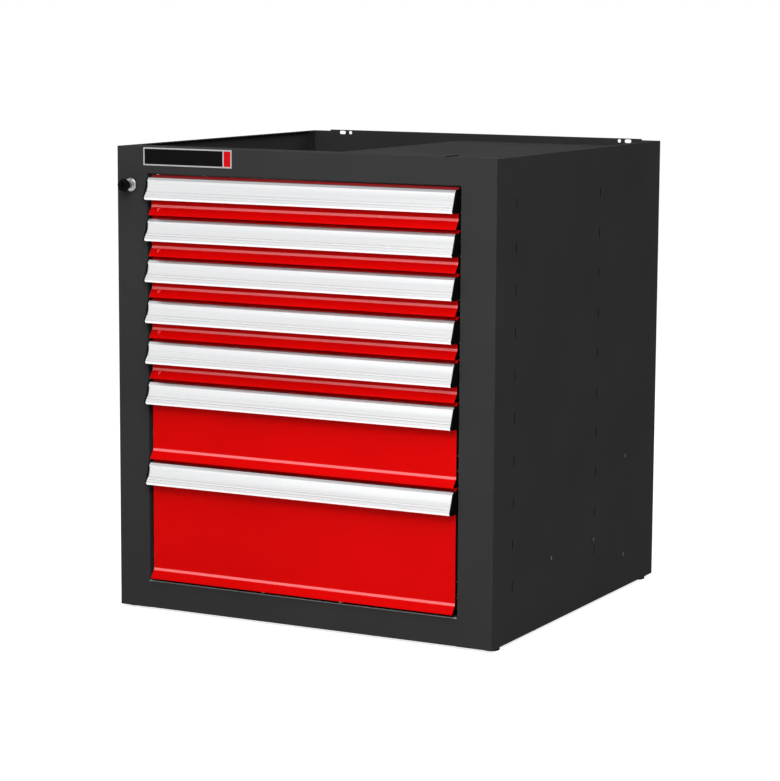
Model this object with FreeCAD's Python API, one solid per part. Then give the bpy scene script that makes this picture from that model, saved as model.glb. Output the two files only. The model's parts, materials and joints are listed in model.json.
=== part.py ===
import FreeCAD, Part
import math
import os

# Drawer base cabinet: a folded steel casing that holds seven drawers on telescopic slides.
# Millimetres. X runs to the right and Y to the back, as seen by someone facing the drawers.
# The origin is on the floor, under the middle of the footprint with the lock knob included.

# Casing
CASE_WIDTH = 718.0
CASE_DEPTH = 690.0
CASE_HEIGHT = 799.0
SHEET = 1.2
BEND = 0.8
LEFT_STILE_WIDTH = 60.0
RIGHT_STILE_WIDTH = 64.0
STILE_RETURN = 14.0
TOP_RAIL_HEIGHT = 45.5
BOTTOM_RAIL_HEIGHT = 48.5
TOP_FLANGE_DEPTH = 50.0
CORNER_FLANGE_WIDTH = 72.0
RIM_FLANGE = 10.0
RAIL_LIP = 25.0
RAIL_RETURN = 12.0
BOTTOM_FLANGE = 25.0
BOTTOM_RAIL_SHELF = 30.0
BACK_FLANGE = 20.0

# Raised strip at the top of the back, with a hole and a slot near each end
STRIP_HALF_WIDTH = 323.0
STRIP_RISE = 2.3
STRIP_HOLE_X = 279.0
STRIP_SLOT_X = 296.0
STRIP_HOLE_RADIUS = 3.25
STRIP_SLOT_LENGTH = 13.0
STRIP_HOLE_BELOW_RIM = 2.6

# Half cover let into the top
COVER_LEFT_X = -30.5
COVER_DROP = 9.5
COVER_EDGE = 15.0

# Hook slots in the sides, one row for every module of drawer height
MODULE = 70.0
SLOT_ROWS = 10
SLOT_FRONT_Y = 76.4
SLOT_REAR_Y = 417.0
SLOT_TOP_Z = 722.85
SLOT_HEIGHT = 17.0
SLOT_WIDTH = 2.0

# Feet, at their depths behind the front
FOOT_HEIGHT = 5.0
FOOT_RADIUS = 14.0
FOOT_INSET_X = 15.0
FOOT_FRONT_Y = 30.0
FOOT_REAR_Y = 655.0
FOOT_STUD_RADIUS = 4.0
FOOT_STUD_RISE = 6.0

# Threaded inserts low in both sides, a level pair and an upright pair
INSERT_SPACING = 180.0
INSERT_LEVEL_PAIR = (231.0, 113.0)
INSERT_UPRIGHT_PAIR = (548.5, 62.0)
INSERT_BORE_RADIUS = 3.0
INSERT_BODY_RADIUS = 4.5
INSERT_FLANGE_RADIUS = 5.5
INSERT_FLANGE_HEIGHT = 0.5
INSERT_LENGTH = 13.0
INSERT_BULGE_RADIUS = 6.0
INSERT_BULGE_LENGTH = 4.5

# Drawers, from the top down, in modules of height
DRAWER_MODULES = [1, 1, 1, 1, 1, 2, 3]
MARKED_DRAWERS = 5
TOP_GAP = 1.2
LIP_GAP = 1.4

# Front panel of a drawer
FRONT_HALF_WIDTH = 290.7
FRONT_SETBACK = 1.5
FRONT_SHEET = 1.5
FRONT_TOP_RETURN = 11.0
LIP_HEIGHT = 15.3
LIP_REACH = 10.0
LIP_HEM = 1.8
LIP_BEND = 4.0
MARK_X = -275.0
MARK_HALF_WIDTH = 3.4
MARK_TOP = 4.0
MARK_TIP = 11.5
MARK_RISE = 0.8

# Handle extrusion, measured down from its own top and forward from the casing's front
HANDLE_HALF_WIDTH = 290.5
HANDLE_BELOW_TOP = 4.3
HANDLE_HEIGHT = 37.3
HANDLE_WALL = 2.0
HANDLE_TOP_REACH = 7.8
HANDLE_BEVEL_REACH = 11.8
HANDLE_BEVEL_DROP = 4.5
HANDLE_KNEE_REACH = 13.1
HANDLE_KNEE_DROP = 17.0
HANDLE_CURVE = 50.0
HANDLE_BEAD_REACH = 23.0
HANDLE_BEAD_DROP = 34.0
HANDLE_TIP_REACH = 20.6
HANDLE_FLANGE_DROP = 26.0
HANDLE_SOFT = 1.0
HANDLE_TOP_SOFT = 2.0
HANDLE_BEAD_WALL = 2.4
LABEL_DEPTH = 0.6
LABEL_TOP_DROP = 7.2
LABEL_BOTTOM_DROP = 24.0
GROOVE_DEPTH = 0.4
GROOVE_TOP_DROP = 30.9
GROOVE_BOTTOM_DROP = 31.8

# End caps of the handle
CAP_THICKNESS = 2.7
CAP_PROUD = 0.4

# Tray of a drawer
TRAY_HALF_WIDTH = 283.7
TRAY_DEPTH = 609.0
TRAY_SHEET = 1.0
TRAY_BOTTOM_GAP = 4.5
TRAY_TOP_GAP = 11.0
TRAY_RIM = 8.0

# Telescopic slides, three nested members on each side of a drawer
SLIDE_LENGTH = 600.0
SLIDE_GAUGE = 1.2
SLIDE_TRAVEL = 570.0
INNER_START_Y = 8.0
MIDDLE_START_Y = 18.0
OUTER_START_Y = 28.0
OUTER_HALF_HEIGHT = 17.65
MIDDLE_HALF_HEIGHT = 15.4
INNER_HALF_HEIGHT = 13.0
OUTER_WEB_X = 296.4
OUTER_TIP_X = 287.0
MIDDLE_WEB_X = 293.9
MIDDLE_TIP_X = 285.9
INNER_TIP_X = 291.5

# Brackets that hook into the sides and carry the slides
BRACKET_SHEET = 1.5
BRACKET_HALF_HEIGHT = 15.0
BRACKET_TAB_HALF_HEIGHT = 7.5
BRACKET_TAB_REACH = 0.6

# Central lock in the left stile
LOCK_X = -330.2
LOCK_Z = 734.0
KNOB_REACH = 27.0
KNOB_RIM_REACH = 22.5
KNOB_NECK_REACH = 15.0
KNOB_RADIUS = 10.85
KNOB_NECK_RADIUS = 7.0
KNOB_SOFT = 1.2
KEYHOLE_LENGTH = 7.0
KEYHOLE_WIDTH = 1.4
KEYHOLE_DEPTH = 3.0
ROSETTE_RADIUS = 11.6
ROSETTE_REACH = 6.0
ROSETTE_SOFT = 2.5
STEM_RADIUS = 6.5
STEM_REACH = 14.7
BARREL_RADIUS = 9.5
BARREL_HOLE_GAP = 0.1
BARREL_TAIL = 12.0
NUT_FLATS = 26.0
NUT_THICKNESS = 4.0
NUT_SIDES = 6
SPINDLE_RADIUS = 4.0
SPINDLE_GAP = 0.05
CAM_GAP = 0.3
CAM_RADIUS = 12.0
CAM_THICKNESS = 3.0
CAM_THROW = 7.5
CAM_REST_ANGLE = -45.0
CAM_TURN = 90.0
PIN_RADIUS = 2.0
PIN_GAP = 0.5

# Lock bar behind the left stile, its hooks, its guides and the studs that they catch
BAR_FRONT_Y = 17.0
BAR_THICKNESS = 3.0
BAR_LEFT_X = -322.0
BAR_RIGHT_X = -302.0
BAR_END_MARGIN = 12.0
BAR_HEAD_LEFT_X = -334.0
BAR_HEAD_HALF_HEIGHT = 13.0
HOOK_LEFT_X = -318.0
HOOK_TIP_X = -292.3
HOOK_HALF_HEIGHT = 4.0
STUD_TIP_X = -295.8
STUD_RADIUS = 4.0
STUD_BELOW_SLIDE = 26.0
STUD_PLAY = 1.5
GUIDE_DRAWERS = [2, 4, 6, 7]
GUIDE_MARGIN = 4.0
GUIDE_RIGHT_MARGIN = 1.2
GUIDE_HALF_HEIGHT = 8.0
GUIDE_GAP = 0.4

# Bare name plate on the top rail
PLATE_LEFT_X = -305.0
PLATE_RIGHT_X = -130.4
PLATE_BOTTOM_Z = 767.6
PLATE_TOP_Z = 798.2
PLATE_THICKNESS = 1.5
PLATE_RIM = 2.4
PLATE_RECESS = 0.5
PLATE_BAR_WIDTH = 13.0

# Nylon buttons on the rails
PAD_X = 75.0
PAD_Y = 8.0
PAD_RADIUS = 4.0
PAD_HEIGHT = 2.0
TOP_PAD_X = -278.0
TOP_PAD_Y = 3.0
TOP_PAD_RADIUS = 2.5
TOP_PAD_HEIGHT = 0.9

# Planes that follow from the sizes above
FRONT = (KNOB_REACH - CASE_DEPTH) / 2
BACK = FRONT + CASE_DEPTH
SIDE = CASE_WIDTH / 2
BASE = FOOT_HEIGHT
TOP = BASE + CASE_HEIGHT
OPENING_LEFT = LEFT_STILE_WIDTH - SIDE
OPENING_RIGHT = SIDE - RIGHT_STILE_WIDTH
OPENING_TOP = TOP - TOP_RAIL_HEIGHT
OPENING_BOTTOM = BASE + BOTTOM_RAIL_HEIGHT
LOCK_TRAVEL = 2 * CAM_THROW * math.sin(math.radians(CAM_TURN / 2))
BAR_BACK_Y = FRONT + BAR_FRONT_Y + BAR_THICKNESS
STUD_Y = BAR_BACK_Y + BAR_THICKNESS + STUD_PLAY + STUD_RADIUS
LOCK_CENTRE_Z = BASE + LOCK_Z

# How far a cutter passes beyond the metal that it cuts
OVERRUN = 1.0


def box(x0, y0, z0, x1, y1, z1):
    """Block between two corners."""
    return Part.makeBox(x1 - x0, y1 - y0, z1 - z0, FreeCAD.Vector(x0, y0, z0))


def cylinder_along_y(radius, x, z, y0, y1):
    """Round bar from y0 back to y1."""
    return Part.makeCylinder(radius, y1 - y0, FreeCAD.Vector(x, y0, z), FreeCAD.Vector(0, 1, 0))


def cylinder_along_x(radius, x0, x1, y, z):
    """Round bar from x0 across to x1."""
    return Part.makeCylinder(radius, x1 - x0, FreeCAD.Vector(x0, y, z), FreeCAD.Vector(1, 0, 0))


def mirrored(shape):
    """The same piece for the other side of the cabinet."""
    return shape.mirror(FreeCAD.Vector(0, 0, 0), FreeCAD.Vector(1, 0, 0))


def both_sides(shape):
    """A piece and its mirror image, as two separate solids."""
    return [shape, mirrored(shape)]


def joined(shapes):
    """One solid made of overlapping or touching shapes."""
    return shapes[0].multiFuse(shapes[1:]).removeSplitter()


def front_edges(shape):
    """Edges that lie in a shape's foremost plane."""
    limit = shape.BoundBox.YMin + OVERRUN
    return [edge for edge in shape.Edges if edge.BoundBox.YMax < limit]


def to_space(plane, point, level):
    """A point of a flat drawing, lifted to its level across the drawing's plane."""
    if plane == "XY":
        return FreeCAD.Vector(point.x, point.y, level)
    if plane == "YZ":
        return FreeCAD.Vector(level, point.x, point.y)
    return FreeCAD.Vector(point.x, level, point.y)


def unit(vector):
    """The vector's direction, of length one."""
    return vector * (1 / vector.Length)


def turn_between(first, second):
    """Signed angle from one direction to the next, positive to the left."""
    cross = first.x * second.y - first.y * second.x
    dot = first.x * second.x + first.y * second.y
    return math.atan2(cross, dot)


def rounded_corner(before, corner, after, radius):
    """Start, middle and end of the arc that rounds a corner."""
    come = unit(corner - before)
    leave = unit(after - corner)
    half_turn = abs(turn_between(come, leave)) / 2
    setback = radius * math.tan(half_turn)
    inward = unit(leave - come)
    middle = corner + inward * (radius / math.cos(half_turn) - radius)
    return corner - come * setback, middle, corner + leave * setback


def outline(plane, corners, level):
    """Closed wire through corners (u, v) or (u, v, radius)."""
    points = [FreeCAD.Vector(corner[0], corner[1], 0) for corner in corners]
    radii = [corner[2] if len(corner) > 2 else 0 for corner in corners]
    count = len(points)
    stretches = []
    for i in range(count):
        if radii[i] > 0:
            stretches.append(rounded_corner(points[i - 1], points[i], points[(i + 1) % count], radii[i]))
        else:
            stretches.append((points[i],))
    edges = []
    for i in range(count):
        stretch = [to_space(plane, point, level) for point in stretches[i]]
        following = to_space(plane, stretches[(i + 1) % count][0], level)
        if len(stretch) > 1:
            edges.append(Part.Arc(*stretch).toShape())
        edges.append(Part.LineSegment(stretch[-1], following).toShape())
    return Part.Wire(edges)


def prism(plane, corners, start, end):
    """Solid with a drawn outline, from one level to another across its plane."""
    face = Part.Face(outline(plane, corners, start))
    return face.extrude(to_space(plane, FreeCAD.Vector(0, 0, 0), end - start))


def bent_sheet(plane, path, thickness, start, end):
    """Folded sheet: path runs along its outer face, (u, v) or (u, v, bend), with metal on the left."""
    points = [FreeCAD.Vector(corner[0], corner[1], 0) for corner in path]
    bends = [corner[2] if len(corner) > 2 else BEND for corner in path]
    heading = [unit(points[i + 1] - points[i]) for i in range(len(points) - 1)]
    left = [FreeCAD.Vector(-way.y, way.x, 0) for way in heading]
    drawn = [(points[0].x, points[0].y)]
    inner = [points[0] + left[0] * thickness]
    inner_face = [(inner[0].x, inner[0].y)]
    for i in range(1, len(points) - 1):
        turn = turn_between(heading[i - 1], heading[i])
        miter = unit(left[i - 1] + left[i]) * (thickness / math.cos(turn / 2))
        corner = points[i] + miter
        outside = bends[i] + thickness if turn > 0 else bends[i]
        inside = bends[i] if turn > 0 else bends[i] + thickness
        drawn.append((points[i].x, points[i].y, outside))
        inner_face.append((corner.x, corner.y, inside))
    last = points[-1] + left[-1] * thickness
    drawn.append((points[-1].x, points[-1].y))
    inner_face.append((last.x, last.y))
    return prism(plane, drawn + inner_face[::-1], start, end)


def slot_heights():
    """Heights of the rows of hook slots, from the top down."""
    return [BASE + SLOT_TOP_Z - row * MODULE for row in range(SLOT_ROWS)]


def drawer_top(number):
    """Height of the top edge of a drawer's front."""
    return OPENING_TOP - TOP_GAP - MODULE * sum(DRAWER_MODULES[:number - 1])


def drawer_bottom(number):
    """Height of the lowest edge of a drawer's front."""
    return drawer_top(number) - MODULE * DRAWER_MODULES[number - 1] + LIP_GAP


def slide_height(number):
    """Height of the middle of a drawer's slides: the lowest slot row that it covers."""
    return slot_heights()[sum(DRAWER_MODULES[:number]) - 1]


def stud_height(number):
    """Height of the lock stud on a drawer's left side."""
    return slide_height(number) - STUD_BELOW_SLIDE


def side_panel(stile_width):
    """Left side of the casing: skin, front stile and return, with its flanges, slots and holes."""
    inner_edge = stile_width - SIDE
    skin = -SIDE + SHEET
    path = [
        (-SIDE, BACK),
        (-SIDE, FRONT),
        (inner_edge, FRONT),
        (inner_edge, FRONT + STILE_RETURN),
    ]
    flange_end = BACK - BACK_FLANGE
    pieces = [
        bent_sheet("XY", path, SHEET, BASE, TOP),
        box(skin, FRONT + SHEET, BASE, skin + BOTTOM_FLANGE, flange_end, BASE + SHEET),
        box(skin, FRONT + SHEET, TOP - SHEET, -SIDE + CORNER_FLANGE_WIDTH, FRONT + TOP_FLANGE_DEPTH, TOP),
        box(skin, FRONT + SHEET, TOP - SHEET, skin + RIM_FLANGE, flange_end, TOP),
    ]
    cuts = []
    for z in slot_heights():
        for y in (FRONT + SLOT_FRONT_Y, FRONT + SLOT_REAR_Y):
            low = z - SLOT_HEIGHT / 2
            high = z + SLOT_HEIGHT / 2
            cuts.append(box(-SIDE - OVERRUN, y - SLOT_WIDTH / 2, low, skin + OVERRUN, y + SLOT_WIDTH / 2, high))
    for y, z in insert_places():
        cuts.append(cylinder_along_x(INSERT_BODY_RADIUS, -SIDE - OVERRUN, skin + OVERRUN, y, z))
    for y in foot_rows():
        cuts.append(foot_hole(-SIDE + FOOT_INSET_X, y))
    return joined(pieces).cut(cuts)


def left_side_panel():
    """The left side also has the hole for the lock."""
    radius = BARREL_RADIUS + BARREL_HOLE_GAP
    hole = cylinder_along_y(radius, LOCK_X, LOCK_CENTRE_Z, FRONT - OVERRUN, FRONT + SHEET + OVERRUN)
    return side_panel(LEFT_STILE_WIDTH).cut(hole)


def right_side_panel():
    return mirrored(side_panel(RIGHT_STILE_WIDTH))


def back_panel():
    """Back sheet with folded sides and the raised strip that has the fixing holes."""
    edge = SIDE - SHEET
    path = [
        (edge, BACK - BACK_FLANGE),
        (edge, BACK),
        (-edge, BACK),
        (-edge, BACK - BACK_FLANGE),
    ]
    sheet = bent_sheet("XY", path, SHEET, BASE, TOP)
    strip = box(-STRIP_HALF_WIDTH, BACK - SHEET, TOP - SHEET, STRIP_HALF_WIDTH, BACK, TOP + STRIP_RISE)
    hole_z = TOP - STRIP_HOLE_BELOW_RIM
    y0 = BACK - SHEET - OVERRUN
    y1 = BACK + OVERRUN
    slot_half = STRIP_SLOT_LENGTH / 2 - STRIP_HOLE_RADIUS
    cuts = []
    for sign in (-1, 1):
        slot_x = sign * STRIP_SLOT_X
        cuts.append(cylinder_along_y(STRIP_HOLE_RADIUS, sign * STRIP_HOLE_X, hole_z, y0, y1))
        cuts.append(cylinder_along_y(STRIP_HOLE_RADIUS, slot_x - slot_half, hole_z, y0, y1))
        cuts.append(cylinder_along_y(STRIP_HOLE_RADIUS, slot_x + slot_half, hole_z, y0, y1))
        cuts.append(box(slot_x - slot_half, y0, hole_z - STRIP_HOLE_RADIUS,
                        slot_x + slot_half, y1, hole_z + STRIP_HOLE_RADIUS))
    return joined([sheet, strip]).cut(cuts)


def top_rail():
    """Folded rail above the drawers, notched round the corner flanges of the sides."""
    rear = FRONT + TOP_FLANGE_DEPTH
    path = [
        (rear, TOP - RAIL_LIP),
        (rear, TOP),
        (FRONT, TOP, 0),
        (FRONT, OPENING_TOP),
        (FRONT + RAIL_RETURN, OPENING_TOP),
    ]
    rail = bent_sheet("YZ", path, SHEET, OPENING_LEFT, OPENING_RIGHT)
    notch_x = SIDE - CORNER_FLANGE_WIDTH
    notches = [
        box(OPENING_LEFT, FRONT + SHEET, TOP - RAIL_LIP, -notch_x, rear, TOP),
        box(notch_x, FRONT + SHEET, TOP - RAIL_LIP, OPENING_RIGHT, rear, TOP),
    ]
    return rail.cut(notches)


def bottom_rail():
    """Folded rail below the drawers."""
    rear = FRONT + BOTTOM_RAIL_SHELF
    path = [
        (rear, OPENING_BOTTOM - RAIL_RETURN),
        (rear, OPENING_BOTTOM),
        (FRONT, OPENING_BOTTOM),
        (FRONT, BASE),
        (FRONT + BOTTOM_FLANGE, BASE),
    ]
    return bent_sheet("YZ", path, SHEET, OPENING_LEFT, OPENING_RIGHT)


def foot_rows():
    """Y of the front and rear feet."""
    return [FRONT + FOOT_FRONT_Y, FRONT + FOOT_REAR_Y]


def foot_hole(x, y):
    """Cutter for a foot's stud."""
    start = FreeCAD.Vector(x, y, BASE - OVERRUN)
    return Part.makeCylinder(FOOT_STUD_RADIUS, FOOT_STUD_RISE, start)


def floor_panel():
    """Floor sheet, laid on the flanges of the sides and the bottom rail."""
    half = SIDE - 2 * SHEET
    low = BASE + SHEET
    sheet = box(-half, FRONT + STILE_RETURN, low, half, BACK - SHEET, low + SHEET)
    foot_x = SIDE - FOOT_INSET_X
    holes = [foot_hole(x, y) for x in (-foot_x, foot_x) for y in foot_rows()]
    return sheet.cut(holes)


def top_cover_plate():
    """Cover let into the right half of the top, with its four edges folded down."""
    high = TOP - COVER_DROP
    low = high - COVER_EDGE
    right = SIDE - SHEET
    near = FRONT + TOP_FLANGE_DEPTH
    far = BACK - SHEET
    block = box(COVER_LEFT_X, near, low, right, far, high)
    hollow = box(COVER_LEFT_X + SHEET, near + SHEET, low, right - SHEET, far - SHEET, high - SHEET)
    notch = box(right - SHEET, BACK - BACK_FLANGE, low, right, far, high)
    return block.cut([hollow, notch])


def feet():
    """Four glides, each with a stud through the floor."""
    solids = []
    for x in (-SIDE + FOOT_INSET_X, SIDE - FOOT_INSET_X):
        for y in foot_rows():
            pad = Part.makeCylinder(FOOT_RADIUS, FOOT_HEIGHT, FreeCAD.Vector(x, y, 0))
            stud = Part.makeCylinder(FOOT_STUD_RADIUS, FOOT_STUD_RISE, FreeCAD.Vector(x, y, FOOT_HEIGHT))
            solids.append(joined([pad, stud]))
    return solids


def insert_places():
    """Centres of the threaded inserts in a side, (y, z)."""
    level_y, level_z = INSERT_LEVEL_PAIR
    upright_y, upright_z = INSERT_UPRIGHT_PAIR
    pairs = [
        (level_y, level_z),
        (level_y + INSERT_SPACING, level_z),
        (upright_y, upright_z),
        (upright_y, upright_z + INSERT_SPACING),
    ]
    return [(FRONT + y, BASE + z) for y, z in pairs]


def side_inserts():
    """Riveted inserts: a thin flange outside, the body through the skin, and a bulge behind it."""
    skin = -SIDE + SHEET
    end = -SIDE + INSERT_LENGTH
    solids = []
    for y, z in insert_places():
        insert = joined([
            cylinder_along_x(INSERT_FLANGE_RADIUS, -SIDE - INSERT_FLANGE_HEIGHT, -SIDE, y, z),
            cylinder_along_x(INSERT_BODY_RADIUS, -SIDE, end, y, z),
            cylinder_along_x(INSERT_BULGE_RADIUS, skin, skin + INSERT_BULGE_LENGTH, y, z),
        ])
        bore = cylinder_along_x(INSERT_BORE_RADIUS, -SIDE - OVERRUN, end + OVERRUN, y, z)
        solids.extend(both_sides(insert.cut(bore)))
    return solids


def slide_brackets():
    """Brackets that hook into the sides, one for each slide."""
    near = FRONT + SLOT_FRONT_Y - BRACKET_SHEET / 2
    far = FRONT + SLOT_REAR_Y + BRACKET_SHEET / 2
    wall = -SIDE + SHEET
    path = [(wall, near), (-OUTER_WEB_X, near), (-OUTER_WEB_X, far), (wall, far)]
    solids = []
    for number in range(1, len(DRAWER_MODULES) + 1):
        z = slide_height(number)
        body = bent_sheet("XY", path, BRACKET_SHEET, z - BRACKET_HALF_HEIGHT, z + BRACKET_HALF_HEIGHT)
        tabs = []
        for y in (near, far - BRACKET_SHEET):
            tabs.append(box(wall - BRACKET_TAB_REACH, y, z - BRACKET_TAB_HALF_HEIGHT,
                            wall, y + BRACKET_SHEET, z + BRACKET_TAB_HALF_HEIGHT))
        solids.extend(both_sides(joined([body] + tabs)))
    return solids


def channel(web_x, tip_x, half_height, z, start_y):
    """Slide member of C section: its web is at web_x and its flanges reach to tip_x."""
    inside_x = web_x + math.copysign(SLIDE_GAUGE, tip_x - web_x)
    inside_half = half_height - SLIDE_GAUGE
    corners = [
        (tip_x, z - half_height),
        (web_x, z - half_height),
        (web_x, z + half_height),
        (tip_x, z + half_height),
        (tip_x, z + inside_half),
        (inside_x, z + inside_half),
        (inside_x, z - inside_half),
        (tip_x, z - inside_half),
    ]
    return prism("XZ", corners, FRONT + start_y, FRONT + start_y + SLIDE_LENGTH)


def slide_rails():
    """Outer slide members, fixed to the brackets."""
    solids = []
    for number in range(1, len(DRAWER_MODULES) + 1):
        rail = channel(-OUTER_WEB_X, -OUTER_TIP_X, OUTER_HALF_HEIGHT, slide_height(number), OUTER_START_Y)
        solids.extend(both_sides(rail))
    return solids


def middle_slides(number):
    """Middle slide members of one drawer, which move half as far as the drawer."""
    z = slide_height(number)
    return both_sides(channel(-MIDDLE_WEB_X, -MIDDLE_TIP_X, MIDDLE_HALF_HEIGHT, z, MIDDLE_START_Y))


def inner_slides(number):
    """Inner slide members on the tray, with the stud that the lock catches."""
    z = slide_height(number)
    members = both_sides(channel(-TRAY_HALF_WIDTH, -INNER_TIP_X, INNER_HALF_HEIGHT, z, INNER_START_Y))
    foot = FreeCAD.Vector(-TRAY_HALF_WIDTH, STUD_Y, stud_height(number))
    reach = -TRAY_HALF_WIDTH - STUD_TIP_X
    stud = Part.makeCylinder(STUD_RADIUS, reach, foot, FreeCAD.Vector(-1, 0, 0))
    return members + [stud]


def tray(number):
    """Open tray with an inward rim."""
    low = drawer_bottom(number) + TRAY_BOTTOM_GAP - LIP_GAP
    high = drawer_top(number) - TRAY_TOP_GAP
    near = FRONT + FRONT_SETBACK + FRONT_SHEET
    far = near + TRAY_DEPTH
    half = TRAY_HALF_WIDTH
    wall = TRAY_SHEET
    block = box(-half, near, low, half, far, high)
    hollow = box(-half + wall, near + wall, low + wall, half - wall, far - wall, high - wall)
    mouth = box(-half + TRAY_RIM, near + TRAY_RIM, low + wall, half - TRAY_RIM, far - TRAY_RIM, high)
    return block.cut([hollow, mouth])


def lip_fold(number):
    """Fold line and outer edge of a front's lip, each (y, z)."""
    face = FRONT + FRONT_SETBACK
    low = drawer_bottom(number)
    return (face, low + LIP_HEIGHT), (face - LIP_REACH, low + LIP_HEM)


def lip_mark(number):
    """Small raised triangle on the lip, pointing down."""
    fold, edge = lip_fold(number)
    start = FreeCAD.Vector(MARK_X, fold[0], fold[1])
    down = unit(FreeCAD.Vector(0, edge[0] - fold[0], edge[1] - fold[1]))
    outward = FreeCAD.Vector(0, down.z, -down.y)
    across = FreeCAD.Vector(MARK_HALF_WIDTH, 0, 0)
    sunk = start - outward * (FRONT_SHEET / 2)
    corners = [
        sunk + down * MARK_TOP - across,
        sunk + down * MARK_TOP + across,
        sunk + down * MARK_TIP,
    ]
    face = Part.Face(Part.makePolygon(corners + corners[:1]))
    return face.extrude(outward * (FRONT_SHEET / 2 + MARK_RISE))


def front_panel(number):
    """Front sheet of a drawer, with a top return and an outward lip at the bottom."""
    face = FRONT + FRONT_SETBACK
    high = drawer_top(number)
    low = drawer_bottom(number)
    fold, edge = lip_fold(number)
    path = [
        (face + FRONT_TOP_RETURN, high),
        (face, high),
        (fold[0], fold[1], LIP_BEND),
        (edge[0], edge[1]),
        (edge[0], low),
    ]
    panel = bent_sheet("YZ", path, FRONT_SHEET, -FRONT_HALF_WIDTH, FRONT_HALF_WIDTH)
    if number > MARKED_DRAWERS:
        return panel
    return joined([panel, lip_mark(number)])


def handle_top(number):
    return drawer_top(number) - HANDLE_BELOW_TOP


def handle_front_line(top):
    """Front face of the handle: steep at the top, then curving out to the bead."""
    return [
        (FRONT - HANDLE_BEVEL_REACH, top - HANDLE_BEVEL_DROP),
        (FRONT - HANDLE_KNEE_REACH, top - HANDLE_KNEE_DROP, HANDLE_CURVE),
        (FRONT - HANDLE_BEAD_REACH, top - HANDLE_BEAD_DROP, HANDLE_SOFT),
    ]


def front_groove(top, depth, from_drop, to_drop):
    """Cutter for a shallow channel in the handle's front face."""
    line = handle_front_line(top)
    strip = bent_sheet("YZ", line, depth, -HANDLE_HALF_WIDTH, HANDLE_HALF_WIDTH)
    near = FRONT - HANDLE_BEAD_REACH - OVERRUN
    slab = box(-HANDLE_HALF_WIDTH, near, top - to_drop, HANDLE_HALF_WIDTH, FRONT, top - from_drop)
    return strip.common(slab)


def handle(number):
    """Handle extrusion: a curved front wall, open at the back and below for the fingers."""
    top = handle_top(number)
    face = FRONT + FRONT_SETBACK
    wall = HANDLE_WALL
    bottom = top - HANDLE_HEIGHT
    bevel_y = FRONT - HANDLE_BEVEL_REACH + wall
    corners = [
        (face, top),
        (FRONT - HANDLE_TOP_REACH, top, HANDLE_TOP_SOFT),
    ]
    corners += handle_front_line(top)
    corners += [
        (FRONT - HANDLE_TIP_REACH, bottom),
        (FRONT - HANDLE_TIP_REACH + wall, bottom + wall / 2),
        (FRONT - HANDLE_BEAD_REACH + HANDLE_BEAD_WALL, top - HANDLE_BEAD_DROP, HANDLE_SOFT),
        (FRONT - HANDLE_KNEE_REACH + wall, top - HANDLE_KNEE_DROP, HANDLE_CURVE - wall),
        (bevel_y, top - HANDLE_BEVEL_DROP),
        (bevel_y + wall, top - wall),
        (face - wall, top - wall),
        (face - wall, top - HANDLE_FLANGE_DROP),
        (face, top - HANDLE_FLANGE_DROP),
    ]
    extrusion = prism("YZ", corners, -HANDLE_HALF_WIDTH, HANDLE_HALF_WIDTH)
    label = front_groove(top, LABEL_DEPTH, LABEL_TOP_DROP, LABEL_BOTTOM_DROP)
    groove = front_groove(top, GROOVE_DEPTH, GROOVE_TOP_DROP, GROOVE_BOTTOM_DROP)
    return extrusion.cut([label, groove])


def end_caps(number):
    """Plates that close the two ends of the handle."""
    top = handle_top(number)
    bottom = top - HANDLE_HEIGHT
    corners = [
        (FRONT + FRONT_SETBACK, top + CAP_PROUD),
        (FRONT - HANDLE_TOP_REACH, top + CAP_PROUD, HANDLE_SOFT),
    ]
    for corner in handle_front_line(top):
        corners.append((corner[0] - CAP_PROUD,) + corner[1:])
    corners += [
        (FRONT - HANDLE_TIP_REACH, bottom - CAP_PROUD, HANDLE_SOFT),
        (FRONT + FRONT_SETBACK, bottom - CAP_PROUD),
    ]
    cap = prism("YZ", corners, -HANDLE_HALF_WIDTH - CAP_THICKNESS, -HANDLE_HALF_WIDTH)
    return both_sides(cap)


def name_plate():
    """Bare plate: a raised rim round a long field and a narrow one at its right end."""
    near = FRONT - PLATE_THICKNESS
    low = BASE + PLATE_BOTTOM_Z
    high = BASE + PLATE_TOP_Z
    plate = box(PLATE_LEFT_X, near, low, PLATE_RIGHT_X, FRONT, high)
    end = PLATE_RIGHT_X - PLATE_RIM
    bar = end - PLATE_BAR_WIDTH
    sunk = near + PLATE_RECESS
    fields = [
        box(PLATE_LEFT_X + PLATE_RIM, near, low + PLATE_RIM, bar - PLATE_RIM, sunk, high - PLATE_RIM),
        box(bar, near, low + PLATE_RIM, end, sunk, high - PLATE_RIM),
    ]
    return plate.cut(fields)


def rest_pads():
    """Nylon buttons: two on the bottom rail's shelf and one under the top rail."""
    solids = []
    for x in (-PAD_X, PAD_X):
        seat = FreeCAD.Vector(x, FRONT + PAD_Y, OPENING_BOTTOM)
        solids.append(Part.makeCylinder(PAD_RADIUS, PAD_HEIGHT, seat))
    seat = FreeCAD.Vector(TOP_PAD_X, FRONT + TOP_PAD_Y, OPENING_TOP - TOP_PAD_HEIGHT)
    solids.append(Part.makeCylinder(TOP_PAD_RADIUS, TOP_PAD_HEIGHT, seat))
    return solids


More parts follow.
